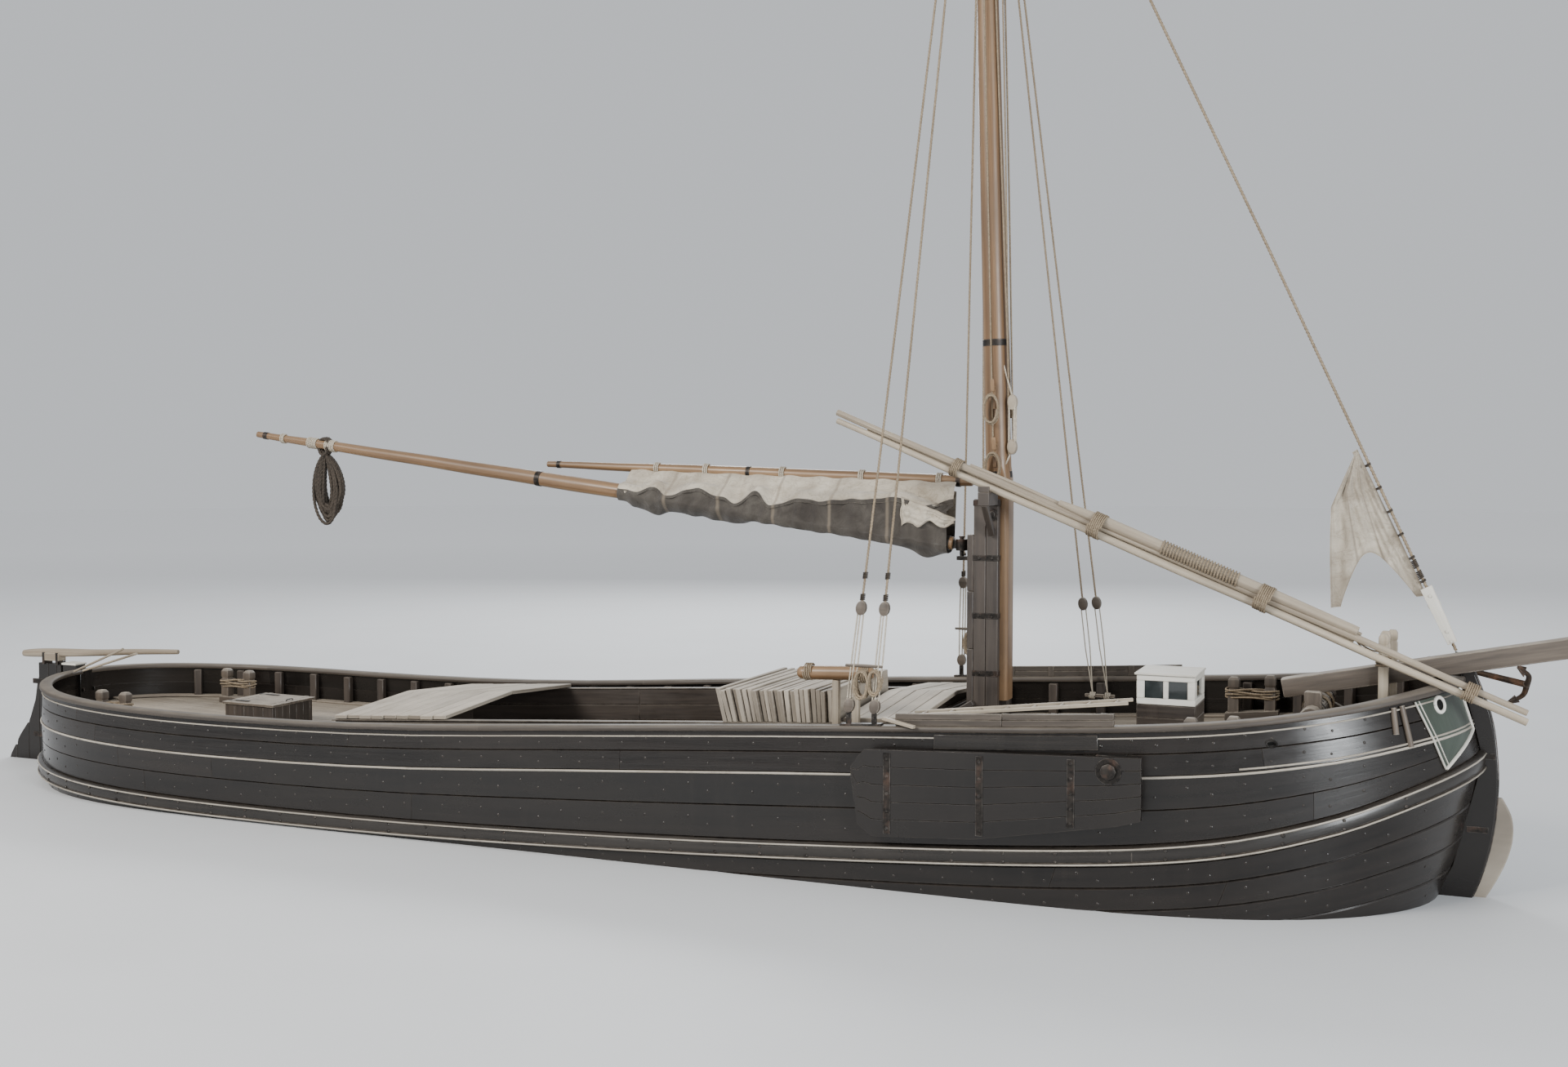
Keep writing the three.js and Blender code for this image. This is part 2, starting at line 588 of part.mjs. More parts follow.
// Bowsprit beside the stem, and its bitts
const bowsprit = { y: -330, heel: [6950, 2880], tip: [10950, 3680], size: 190 };
function bowspritTimber() {
  const at = ([x, z], y = bowsprit.y) => [x, y, z];
  const square = timber(at(bowsprit.heel), at([9600, 3410]), bowsprit.size, bowsprit.size);
  const round = spar(at([9560, 3402]), at(bowsprit.tip), [[0, 88], [0.8, 70], [1, 48]], 12);
  return join(square, round);
}
add('bowsprit', bowspritTimber(), colors.spar, 0.7);
const bitts = { x: 7860, low: 110, high: 3450 };
function bowBitts() {
  const post = (x, y) => upright(x - 45, x + 45, y - 45, y + 45, bitts.high);
  const cross = block([bitts.x - 45, bitts.x + 75], [-500, 0], [2620, 2720]);
  const beside = bowsprit.size / 2 + 45.5;
  const pair = [beside, -beside].map((y) => post(bitts.x, bowsprit.y + y));
  return join(...pair, post(bitts.x + 60, -40), cross);
}
add('bow_bitts', bowBitts(), colors.oldWood);

// Foresail lowered on the stay: a thin hanging panel with an arch along its foot
const sailOutline = [[7640, 5120], [7350, 4200], [7340, 3700], [7520, 3660], [7640, 4060], [7950, 4060],
  [8130, 3640], [8310, 3700], [7680, 5060]];
add('foresail', plate(sailOutline, 15.6, 56), colors.canvas, 0.95);

// Windlass across the foredeck
function windlassBarrel() {
  const { x, z, radius } = windlass;
  const barrel = spar([x, -560, z], [x, 560, z], [[0, radius], [1, radius]], 12);
  const headRadii = [[0, radius - 20], [1, radius - 5]];
  const heads = [-1, 1].map((s) => spar([x, s * 690, z], [x, s * 900, z], headRadii, 12));
  const axle = spar([x, -780, z], [x, 780, z], [[0, 45], [1, 45]], 10);
  return join(barrel, ...heads, axle);
}
function windlassBitts(s) {
  const { x, z } = windlass;
  const post = upright(x - 80, x + 80, s * 575, s * 675, 2900);
  return cut(post, spar([x, s * 500, z], [x, s * 760, z], [[0, 46.7], [1, 46.7]], 16));
}
add('windlass_barrel', windlassBarrel(), colors.oldWood);
for (const { name, s } of sides) add(`windlass_bitt_${name}`, windlassBitts(s), colors.oldWood);

// Bollards: a pair of posts on a cross piece, forward and aft on each side
const bollards = [
  { place: 'fore', x: 6450, y: 1500 },
  { place: 'aft', x: -7000, y: 1120 },
];
for (const { place, x, y } of bollards) {
  for (const { name, s } of sides) {
    const post = (c) => standing(c - 60, c + 60, s * y - 60, s * y + 60, 470);
    const base = standing(x - 280, x + 280, s * y - 70, s * y + 70, 90);
    add(`bollard_${place}_${name}`, join(base, post(x - 190), post(x + 190)), colors.oldWood);
  }
}

// Wash boards raised on the rail beside the mast
for (const { name, s } of sides) {
  const y = [s * 1880, s * 1925].sort((a, b) => a - b);
  const ends = [3560, 4100, 4700, 5200, 5640];
  add(`wash_board_${name}`, loft(ends.map((x) => [
    [x, y[0], railTop(x)], [x, y[1], railTop(x)], [x, y[1], railTop(x) + 120], [x, y[0], railTop(x) + 120],
  ])), colors.oldWood);
}

// Leeboards with their head bolts; the board hangs outside the wale
const leeOutline = [[5930, 2430], [5930, 1860], [5700, 1790], [4400, 1560], [3400, 1500], [3210, 1640],
  [3180, 2150], [3300, 2330], [4600, 2380]];
for (const { name, s } of sides) {
  const y = (value) => s * (leeHead.y + value);
  const [y0, y1] = [y(-30), y(30)].sort((a, b) => a - b);
  const boltAt = (value) => [leeHead.x, y(value), leeHead.z];
  const hole = spar(boltAt(-80), boltAt(80), [[0, 39.2], [1, 39.2]], 20);
  add(`leeboard_${name}`, cut(plate(leeOutline, y0, y1), hole), colors.oldWood);
  const hullY = halfAt('seam', leeHead.x) + 10.6;
  const bolster = block(
    [leeHead.x - 130, leeHead.x + 130],
    [s * hullY, y(-36)].sort((a, b) => a - b),
    [leeHead.z - 130, leeHead.z + 130],
  );
  const pin = spar(boltAt(-60), boltAt(75), [[0, 38], [1, 38]], 16);
  const cap = spar(boltAt(36), boltAt(75), [[0, 80], [1, 70]], 12);
  add(`leeboard_bolt_${name}`, join(bolster, pin, cap), colors.iron, 0.6, 0.6);
}

// Rudder hung on the sternpost, with a tiller over the stern
const rudderHead = 2325;
function rudder() {
  const front = rudderAxis.x - 24;
  const outline = [[front, 90], [-10020, 90], [-10120, 420], [-9960, 1000], [-9600, 1500],
    [-9420, 2100], [-9420, rudderHead], [front, rudderHead]];
  const { x, pin, eye, heights } = rudderAxis;
  const low = (z) => z + gap;
  const eyes = heights.map((z) => spar([x, 0, low(z)], [x, 0, low(z) + 110], [[0, eye], [1, eye]], 16));
  const bores = heights.map((z) => spar([x, 0, z - 60], [x, 0, z + 200], [[0, pin + 1], [1, pin + 1]], 20));
  const notches = heights.map((z) => block([x - eye - 50, front + 1], [-60, 60], [z - 50, low(z)]));
  return cut(join(cut(plate(outline, -45, 45), ...notches), ...eyes), ...bores);
}
const tillerEnds = { aft: { x: -9720, z: 2400 }, fore: { x: -7000, z: 2540 } };
function tiller() {
  const { aft, fore } = tillerEnds;
  const pole = spar([aft.x, 0, aft.z], [fore.x, 0, fore.z], [[0, 46], [0.15, 62], [0.3, 58], [1, 30]], 10);
  return join(pole, block([-9330, -9030], [-70, 70], [rudderHead + gap, rudderHead + 110]));
}
add('rudder', rudder(), colors.tar);
add('tiller', tiller(), colors.spar, 0.6);

// Long poles and a spare spar, lashed together; they rest on the tabernacle crutch and the bow rail
const bundleLine = { aft: [2370, -360, 5480], fore: [9080, -790, 2738.1] };
function onBundle(t, lift) {
  const [x, y, z] = bundleLine.aft.map((v, k) => v + t * (bundleLine.fore[k] - v));
  return [x, y, z + lift];
}
function sparBundle() {
  const lifts = [0, 90];
  const poleRadii = [[0, 30], [0.5, 38], [1, 28]];
  const poles = lifts.map((lift) => spar(onBundle(0, lift), onBundle(1, lift), poleRadii, 8));
  const spare = spar([4800, -525, 4640], [7640, -690, 3480], [[0, 50], [0.5, 62], [1, 44]], 10);
  const lashing = (t) => {
    const [x, y, z] = onBundle(t, 0);
    return block([x - 45, x + 45], [y - 50, y + 50], [z - 10, z + 240]);
  };
  return join(...poles, spare, lashing(0.42), lashing(0.66));
}
add('spar_bundle', sparBundle(), colors.spar, 0.6);

// Anchor stowed at the port bow
function anchor() {
  const shank = spar([8250, 950, 3051.4], [9120, 520, 2911.4], [[0, 28], [1, 34]], 8);
  const stock = spar([8330, 1180, 3061.4], [8270, 670, 3026.4], [[0, 20], [1, 20]], 8);
  const arm = (x, y, z) => spar([9110, 525, 2913.4], [x, y, z], [[0, 34], [1, 22]], 8);
  return join(shank, stock, arm(9030, 300, 3101), arm(8960, 620, 2721));
}
add('anchor', anchor(), colors.iron, 0.6, 0.7);

// Round fender log on two stanchions at the forward end of the hold
function fenderLog() {
  const log = spar([2380, -1480, 2935], [3180, -1480, 2965], [[0, 40], [0.06, 72], [0.94, 72], [1, 50]], 10);
  const post = (x) => upright(x - 35, x + 35, -1515, -1445, 2890);
  return join(log, post(2790), post(3000));
}
add('fender_log', fenderLog(), colors.tar);
export default meshes;
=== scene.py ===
# River barge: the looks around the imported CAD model. Metres, bow at +X, port at +Y, flat bottom at z = 0.
import random
from math import asin, atan2, cos, hypot, pi, radians, sin

import bpy
from mathutils import Matrix, Vector


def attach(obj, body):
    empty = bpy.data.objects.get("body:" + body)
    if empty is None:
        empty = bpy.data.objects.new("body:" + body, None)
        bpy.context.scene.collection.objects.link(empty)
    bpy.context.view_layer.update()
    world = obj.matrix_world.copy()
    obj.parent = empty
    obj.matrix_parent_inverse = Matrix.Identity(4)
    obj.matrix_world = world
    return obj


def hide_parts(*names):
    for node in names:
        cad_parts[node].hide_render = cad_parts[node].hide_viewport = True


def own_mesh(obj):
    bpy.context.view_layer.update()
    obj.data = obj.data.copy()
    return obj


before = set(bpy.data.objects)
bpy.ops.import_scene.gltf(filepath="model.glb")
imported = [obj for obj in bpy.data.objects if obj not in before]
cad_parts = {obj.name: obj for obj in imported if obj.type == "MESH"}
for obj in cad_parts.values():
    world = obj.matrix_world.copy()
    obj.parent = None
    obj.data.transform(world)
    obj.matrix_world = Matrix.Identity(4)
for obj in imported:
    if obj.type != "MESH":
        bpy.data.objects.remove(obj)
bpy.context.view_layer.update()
waterline = 0.95

print("camera, floor and lights")
cameraSettings = {"place": (8.55, -16.6, 5.10), "turn": 22.7, "pitch": 2.7, "lens": 37.5, "sensor": 36}
camera = bpy.data.objects.new("camera", bpy.data.cameras.new("camera"))
camera.location = cameraSettings["place"]
camera.rotation_euler = (radians(90 - cameraSettings["pitch"]), 0, radians(cameraSettings["turn"]))
camera.data.lens = cameraSettings["lens"]
camera.data.sensor_width = cameraSettings["sensor"]
camera.data.clip_end = 500
bpy.context.collection.objects.link(camera)
bpy.context.scene.camera = camera

lampTable = [  # name, place, aim, width, height, watts, colour
    ("keyLamp", (-12, -24, 20), (2, 0, 2), 14, 10, 9000, (1.0, 0.965, 0.91)),
    ("bowLamp", (24, -17, 8), (7, -1, 2), 5, 8, 5200, (0.93, 0.97, 1.0)),
    ("backLamp", (-8, 26, 18), (0, 0, 3), 16, 8, 5200, (0.95, 0.98, 1.0)),
]
for name, place, aim, width, height, watts, colour in lampTable:
    lamp = bpy.data.objects.new(name, bpy.data.lights.new(name, "AREA"))
    lamp.data.shape = "RECTANGLE"
    lamp.data.size = width
    lamp.data.size_y = height
    lamp.data.energy = watts
    lamp.data.color = colour
    lamp.location = place
    lamp.rotation_euler = (Vector(aim) - Vector(place)).to_track_quat("-Z", "Y").to_euler()
    bpy.context.collection.objects.link(lamp)

world = bpy.data.worlds.new("studio")
world.use_nodes = True
world.node_tree.nodes["Background"].inputs["Color"].default_value = (0.86, 0.89, 0.93, 1)
world.node_tree.nodes["Background"].inputs["Strength"].default_value = 0.75
bpy.context.scene.world = world


def newTree(name, kind, inputs, outputs):
    tree = bpy.data.node_groups.new(name, kind)
    for label, socketKind, value in inputs:
        socket = tree.interface.new_socket(name=label, in_out="INPUT", socket_type="NodeSocket" + socketKind)
        if value is not None:
            socket.default_value = value
    for label, socketKind in outputs:
        tree.interface.new_socket(name=label, in_out="OUTPUT", socket_type="NodeSocket" + socketKind)
    return tree, tree.nodes.new("NodeGroupInput").outputs, tree.nodes.new("NodeGroupOutput").inputs


def link(tree, source, target):
    tree.links.new(source, target)


def feed(tree, socket, value):
    if isinstance(value, bpy.types.NodeSocket):
        tree.links.new(value, socket)
    else:
        socket.default_value = value


def addNode(tree, kind, sockets={}, **settings):
    # a node with its settings, then its inputs by label or number; gives its outputs
    node = tree.nodes.new(kind)
    for key, value in settings.items():
        setattr(node, key, value)
    for label, value in sockets.items():
        feed(tree, node.inputs[label], value)
    return node.outputs


def mathNode(tree, operation, *values, clamp=False):
    return addNode(tree, "ShaderNodeMath", dict(enumerate(values)), operation=operation, use_clamp=clamp)[0]


def times(tree, a, b, clamp=False):
    return mathNode(tree, "MULTIPLY", a, b, clamp=clamp)


def plus(tree, a, b, clamp=False):
    return mathNode(tree, "ADD", a, b, clamp=clamp)


def vectorNode(tree, operation, *values):
    out = addNode(tree, "ShaderNodeVectorMath", dict(enumerate(values)), operation=operation)
    return out["Value" if operation in ("DOT_PRODUCT", "LENGTH") else "Vector"]


def scaleNode(tree, vector, scale):
    return addNode(tree, "ShaderNodeVectorMath", {0: vector, "Scale": scale}, operation="SCALE")["Vector"]


def noiseNode(tree, vector, scale, detail=4.0, roughness=0.55, distortion=0.0):
    return addNode(tree, "ShaderNodeTexNoise", {"Vector": vector, "Scale": scale, "Detail": detail,
        "Roughness": roughness, "Distortion": distortion})["Fac"]


def rangeNode(tree, value, low, high, toLow=0.0, toHigh=1.0):
    return addNode(tree, "ShaderNodeMapRange", {"Value": value, "From Min": low, "From Max": high,
        "To Min": toLow, "To Max": toHigh})["Result"]


def mixColour(tree, factor, first, second):
    return addNode(tree, "ShaderNodeMix", {"Factor": factor, "A": first, "B": second},
        data_type="RGBA")["Result"]


def bumpNode(tree, height, strength, distance):
    return addNode(tree, "ShaderNodeBump", {"Strength": strength, "Distance": distance,
        "Height": height})["Normal"]


def placeGroup(tree, group, **values):
    return addNode(tree, "ShaderNodeGroup", values, node_tree=group)


print("shader groups")
# Long fibres along the first axis of the vector it is given, and broader figure between them
grain, grainIn, grainOut = newTree("timberGrain", "ShaderNodeTree",
    [("Vector", "Vector", None), ("Across", "Float", 26.0), ("Along", "Float", 1.3),
    ("Warp", "Float", 0.35)], [("Fibre", "Float"), ("Figure", "Float")])
stretch = addNode(grain, "ShaderNodeCombineXYZ", {0: grainIn["Along"], 1: grainIn["Across"],
    2: grainIn["Across"]})
along = vectorNode(grain, "MULTIPLY", grainIn["Vector"], stretch[0])
link(grain, noiseNode(grain, along, 1.0, 7.0, 0.62, grainIn["Warp"]), grainOut["Fibre"])
link(grain, noiseNode(grain, along, 0.21, 3.0, 0.5, 1.2), grainOut["Figure"])

# Pale worn edges: where a softened normal leans away from the true one, broken up by noise
wear, wearIn, wearOut = newTree("wornEdge", "ShaderNodeTree", [("Vector", "Vector", None),
    ("Width", "Float", 0.012), ("Amount", "Float", 1.0)], [("Mask", "Float")])
softened = addNode(wear, "ShaderNodeBevel", {"Radius": wearIn["Width"]}, samples=4)[0]
agree = vectorNode(wear, "DOT_PRODUCT", softened, addNode(wear, "ShaderNodeNewGeometry")["Normal"])
chips = rangeNode(wear, noiseNode(wear, wearIn["Vector"], 9.0, 5.0, 0.7), 0.36, 0.62)
worn = times(wear, times(wear, rangeNode(wear, agree, 0.995, 0.86), chips), wearIn["Amount"], clamp=True)
link(wear, worn, wearOut["Mask"])

# Patches and streaks that run down the sides
stains, stainIn, stainOut = newTree("rainStain", "ShaderNodeTree",
    [("Vector", "Vector", None), ("Scale", "Float", 1.0)], [("Patch", "Float"), ("Streak", "Float")])
for label, shape, detail, warp, low, high in (("Patch", (0.55, 0.55, 0.9), 5.0, 0.4, 0.34, 0.68),
        ("Streak", (9.0, 9.0, 0.7), 4.0, 0.0, 0.45, 0.75)):
    drawn = vectorNode(stains, "MULTIPLY", stainIn["Vector"], shape)
    mark = rangeNode(stains, noiseNode(stains, drawn, stainIn["Scale"], detail, 0.6, warp), low, high)
    link(stains, mark, stainOut[label])

# Dust and bleaching on faces that look up
dust, dustIn, dustOut = newTree("settledDust", "ShaderNodeTree",
    [("Vector", "Vector", None), ("Amount", "Float", 0.6)], [("Mask", "Float")])
upward = vectorNode(dust, "DOT_PRODUCT", addNode(dust, "ShaderNodeNewGeometry")["Normal"], (0.0, 0.0, 1.0))
speckle = rangeNode(dust, noiseNode(dust, dustIn["Vector"], 3.2, 6.0, 0.65), 0.3, 0.7, 0.35, 1.0)
settled = times(dust, times(dust, rangeNode(dust, upward, 0.35, 0.95), speckle), dustIn["Amount"], clamp=True)
link(dust, settled, dustOut["Mask"])

# Plain weave with slubs, over a piece's own UV in metres
weave, weaveIn, weaveOut = newTree("canvasWeave", "ShaderNodeTree",
    [("Vector", "Vector", None), ("Threads", "Float", 420.0)], [("Height", "Float"), ("Slub", "Float")])
split = addNode(weave, "ShaderNodeSeparateXYZ", {0: scaleNode(weave, weaveIn["Vector"], weaveIn["Threads"])})
woven = times(weave, mathNode(weave, "SINE", split[0]), mathNode(weave, "SINE", split[1]))
link(weave, rangeNode(weave, woven, -1.0, 1.0), weaveOut["Height"])
slubs = vectorNode(weave, "MULTIPLY", weaveIn["Vector"], (3.0, 90.0, 1.0))
link(weave, rangeNode(weave, noiseNode(weave, slubs, 1.0, 4.0, 0.6), 0.4, 0.7), weaveOut["Slub"])

print("materials")
materials, slotOf = {}, {}


def newMaterial(name, slot=None):
    material = bpy.data.materials.new(name)
    material.use_nodes = True
    tree = material.node_tree
    materials[name], slotOf[name] = material, slot
    return tree, tree.nodes["Principled BSDF"].inputs


def coordinates(tree, kind):
    if kind == "uv":
        return tree.nodes.new("ShaderNodeUVMap").outputs["UV"]
    return tree.nodes.new("ShaderNodeTexCoord").outputs["Object"]


def attributeValue(tree, name):
    return addNode(tree, "ShaderNodeAttribute", attribute_name=name)["Fac"]


# One row for each timber finish: four colours, worn edge, dust, least and most roughness, grain across
# and along, relief, difference between boards, streaks, slot
timberKeys = ("dark", "light", "worn", "stain", "edge", "dust", "rough", "across", "along", "relief", "tone",
    "streak", "slot")
timberTable = {
    "tarredHull": ((0.0035, 0.003, 0.0028), (0.013, 0.010, 0.0085), (0.10, 0.08, 0.062),
        (0.021, 0.017, 0.014), 0.40, 0.05, (0.13, 0.40), 15, 0.8, 0.004, 0.55, 0.35, "tarred_hull"),
    "bottomTar": ((0.012, 0.009, 0.008), (0.035, 0.025, 0.019), (0.09, 0.07, 0.05), (0.05, 0.045, 0.03),
        0.3, 0.05, (0.4, 0.75), 12, 0.9, 0.004, 0.4, 0.4, "bottom"),
    "waleOak": ((0.005, 0.0045, 0.004), (0.020, 0.016, 0.013), (0.20, 0.17, 0.14), (0.035, 0.029, 0.024),
        0.7, 0.12, (0.2, 0.45), 22, 1.0, 0.003, 0.5, 0.35, "wale"),
    # pale beads: white trim, and a painted highlight along the sheer strake
    "paleBead": ((0.30, 0.265, 0.215), (0.52, 0.48, 0.41), (0.10, 0.08, 0.06), (0.12, 0.10, 0.08),
        0.3, 0.0, (0.35, 0.6), 22, 1.6, 0.002, 0.6, 0.6, "wale"),
    "railOak": ((0.030, 0.023, 0.018), (0.090, 0.072, 0.056), (0.27, 0.23, 0.18), (0.05, 0.04, 0.032),
        0.8, 0.5, (0.4, 0.7), 24, 1.2, 0.003, 0.5, 0.3, "rail"),
    "deckPine": ((0.14, 0.11, 0.082), (0.33, 0.275, 0.21), (0.45, 0.39, 0.31), (0.09, 0.075, 0.06),
        0.5, 0.45, (0.5, 0.85), 26, 1.4, 0.003, 0.6, 0.2, "deck"),
    "hatchPine": ((0.20, 0.165, 0.125), (0.46, 0.40, 0.32), (0.62, 0.56, 0.47), (0.10, 0.085, 0.07),
        0.7, 0.5, (0.5, 0.85), 24, 1.4, 0.003, 0.8, 0.25, "hatch"),
    "coamingOak": ((0.014, 0.011, 0.010), (0.060, 0.046, 0.036), (0.24, 0.20, 0.16), (0.075, 0.06, 0.05),
        0.8, 0.35, (0.3, 0.6), 20, 1.1, 0.003, 0.5, 0.4, "coaming"),
    "cabinPaint": ((0.62, 0.60, 0.54), (0.80, 0.78, 0.72), (0.30, 0.25, 0.19), (0.42, 0.38, 0.31),
        0.5, 0.15, (0.3, 0.55), 30, 1.2, 0.0015, 0.2, 0.35, "white_paint"),
    "oiledSpar": ((0.145, 0.078, 0.036), (0.33, 0.205, 0.105), (0.44, 0.31, 0.19), (0.075, 0.045, 0.025),
        0.4, 0.12, (0.28, 0.5), 30, 0.7, 0.002, 0.4, 0.2, "spar"),
    "paleSpar": ((0.25, 0.20, 0.145), (0.50, 0.43, 0.33), (0.6, 0.53, 0.43), (0.12, 0.095, 0.07),
        0.4, 0.2, (0.4, 0.7), 28, 0.8, 0.002, 0.6, 0.25, "spar"),
    "sagePaint": ((0.028, 0.040, 0.030), (0.060, 0.078, 0.060), (0.12, 0.10, 0.08), (0.030, 0.032, 0.026),
        0.3, 0.1, (0.3, 0.5), 22, 1.0, 0.002, 0.2, 0.5, "white_paint"),
    "fittingOak": ((0.055, 0.042, 0.032), (0.15, 0.118, 0.09), (0.48, 0.42, 0.34), (0.04, 0.032, 0.026),
        1.0, 0.6, (0.4, 0.7), 24, 1.4, 0.003, 0.5, 0.3, "fittings"),
}


def makeTimber(name, look, kind):
    tree, shader = newMaterial(name + ("" if kind == "uv" else "Solid"), look["slot"])
    spot = coordinates(tree, "object")
    run = coordinates(tree, kind)
    fibre = placeGroup(tree, grain, Vector=run, Across=look["across"], Along=look["along"])
    weather = placeGroup(tree, stains, Vector=spot)
    tone = rangeNode(tree, plus(tree, times(tree, fibre["Fibre"], 0.6), times(tree, fibre["Figure"], 0.5)),
        0.38, 0.72)
    if kind == "uv":
        plankTone = rangeNode(tree, attributeValue(tree, "tone"), 0.0, 1.0, -look["tone"] / 2,
            look["tone"] / 2)
        tone = plus(tree, tone, plankTone, clamp=True)
    colour = mixColour(tree, tone, (*look["dark"], 1), (*look["light"], 1))
    drip = times(tree, weather["Streak"], look["streak"])
    blot = times(tree, weather["Patch"], 0.45)
    colour = mixColour(tree, mathNode(tree, "MAXIMUM", drip, blot), colour, (*look["stain"], 1))
    bleach = placeGroup(tree, dust, Vector=spot, Amount=look["dust"])
    colour = mixColour(tree, bleach["Mask"], colour, (*look["worn"], 1))
    rub = placeGroup(tree, wear, Vector=spot, Amount=look["edge"])
    colour = mixColour(tree, rub["Mask"], colour, (*look["worn"], 1))
    feed(tree, shader["Base Color"], colour)
    shader["Specular IOR Level"].default_value = look.get("shine", 0.5)
    gloss = rangeNode(tree, plus(tree, times(tree, weather["Patch"], 0.6), times(tree, fibre["Fibre"], 0.4)),
        0.15, 0.85, *look["rough"])
    feed(tree, shader["Roughness"], plus(tree, gloss, times(tree, bleach["Mask"], 0.25), clamp=True))
    height = plus(tree, fibre["Fibre"], times(tree, weather["Patch"], 0.35))
    feed(tree, shader["Normal"], bumpNode(tree, height, 0.55, look["relief"]))


timberTable = {name: dict(zip(timberKeys, row)) for name, row in timberTable.items()}
timberTable["tarredHull"]["shine"] = 0.42
for name, look in timberTable.items():
    makeTimber(name, look, "uv")
for name in ("tarredHull", "fittingOak"):
    makeTimber(name, timberTable[name], "object")

clothTable = {
    "sailCanvas": {"dark": (0.40, 0.345, 0.265), "light": (0.66, 0.60, 0.49), "stain": (0.20, 0.16, 0.115),
        "fold": 0.010},
    "jibCanvas": {"dark": (0.33, 0.285, 0.22), "light": (0.56, 0.51, 0.42), "stain": (0.17, 0.135, 0.10),
        "fold": 0.006},
}
for name, look in clothTable.items():
    tree, shader = newMaterial(name, "canvas")
    flat = coordinates(tree, "uv")
    spot = coordinates(tree, "object")
    cloth = placeGroup(tree, weave, Vector=flat)
    weather = placeGroup(tree, stains, Vector=spot, Scale=2.2)
    wrinkle = noiseNode(tree, spot, 3.4, 6.0, 0.62, 0.8)
    crease = mathNode(tree, "ABSOLUTE", mathNode(tree, "SUBTRACT", noiseNode(tree, spot, 5.5, 3.0, 0.5, 1.4),
        0.5))
    # painted shade and light on the folds: the colour follows the wrinkle noise of the bump, darker in its
    # hollows and paler on its crests
    colour = mixColour(tree, rangeNode(tree, wrinkle, 0.32, 0.68), (*look["dark"], 1), (*look["light"], 1))
    colour = mixColour(tree, times(tree, cloth["Slub"], 0.22), colour, (*look["stain"], 1))
    colour = mixColour(tree, times(tree, weather["Patch"], 0.5), colour, (*look["stain"], 1))
    colour = mixColour(tree, times(tree, rangeNode(tree, crease, 0.03, 0.0), 0.35), colour,
        (*look["stain"], 1))
    # painted shade: the marked rows, the furl's underside below the boom, go near black, partly tanned canvas
    # and partly shade painted in; a little less dark on the wrinkle crests
    shadeAndTan = times(tree, attributeValue(tree, "shadeAndTan"), rangeNode(tree, wrinkle, 0.2, 0.8, 1.0, 0.88))
    colour = mixColour(tree, shadeAndTan, colour, (0.020, 0.015, 0.012, 1))
    seamLine = times(tree, attributeValue(tree, "seam"), 0.55)
    colour = mixColour(tree, seamLine, colour, (*look["stain"], 1))
    feed(tree, shader["Base Color"], colour)
    feed(tree, shader["Roughness"], rangeNode(tree, wrinkle, 0.2, 0.8, 0.95, 0.75))
    shader["Sheen Weight"].default_value = 0.25
    shader["Sheen Roughness"].default_value = 0.5
    height = plus(tree, times(tree, cloth["Height"], 0.05), plus(tree, wrinkle,
        times(tree, rangeNode(tree, crease, 0.06, 0.0), 0.25)))
    feed(tree, shader["Normal"], bumpNode(tree, height, 0.8, look["fold"]))

ropeTable = {
    "hempRope": ((0.17, 0.125, 0.080), (0.36, 0.285, 0.195)),
    "darkRope": ((0.020, 0.015, 0.011), (0.075, 0.056, 0.040)),
    "paleRope": ((0.36, 0.31, 0.24), (0.62, 0.56, 0.46)),
}
for name, (dark, light) in ropeTable.items():
    tree, shader = newMaterial(name, "rope")
    spot = coordinates(tree, "object")
    fibre = noiseNode(tree, spot, 46.0, 4.0, 0.7)
    soil = noiseNode(tree, spot, 1.7, 4.0, 0.6)
    colour = mixColour(tree, rangeNode(tree, fibre, 0.3, 0.7), (*dark, 1), (*light, 1))
    colour = mixColour(tree, times(tree, rangeNode(tree, soil, 0.42, 0.7), 0.5), colour, (*dark, 1))
    feed(tree, shader["Base Color"], colour)
    feed(tree, shader["Roughness"], rangeNode(tree, fibre, 0.0, 1.0, 0.95, 0.7))
    feed(tree, shader["Normal"], bumpNode(tree, fibre, 0.6, 0.003))

ironTable = {
    "tarredIron": ((0.012, 0.011, 0.010), (0.045, 0.038, 0.033), (0.075, 0.034, 0.017), 0.42),
    # near black: painted shade inside the hawse holes
    "paintedHoleShade": ((0.0015, 0.0014, 0.0013), (0.005, 0.0045, 0.004), (0.006, 0.005, 0.004), 0.8),
    "rustIron": ((0.022, 0.017, 0.014), (0.085, 0.055, 0.036), (0.20, 0.080, 0.030), 0.62),
}
for name, (dark, light, rust, rough) in ironTable.items():
    tree, shader = newMaterial(name, "iron")
    spot = coordinates(tree, "object")
    scale = noiseNode(tree, spot, 18.0, 6.0, 0.65)
    bloom = rangeNode(tree, noiseNode(tree, spot, 5.0, 5.0, 0.7), 0.52, 0.7)
    rub = placeGroup(tree, wear, Vector=spot, Amount=0.6)
    colour = mixColour(tree, rangeNode(tree, scale, 0.3, 0.7), (*dark, 1), (*light, 1))
    colour = mixColour(tree, times(tree, bloom, 0.7), colour, (*rust, 1))
    colour = mixColour(tree, rub["Mask"], colour, (0.26, 0.24, 0.22, 1))
    feed(tree, shader["Base Color"], colour)
    feed(tree, shader["Roughness"], rangeNode(tree, scale, 0.2, 0.8, rough - 0.12, rough + 0.2))
    feed(tree, shader["Metallic"], rangeNode(tree, bloom, 0.0, 1.0, 0.75, 0.1))
    feed(tree, shader["Normal"], bumpNode(tree, scale, 0.5, 0.002))
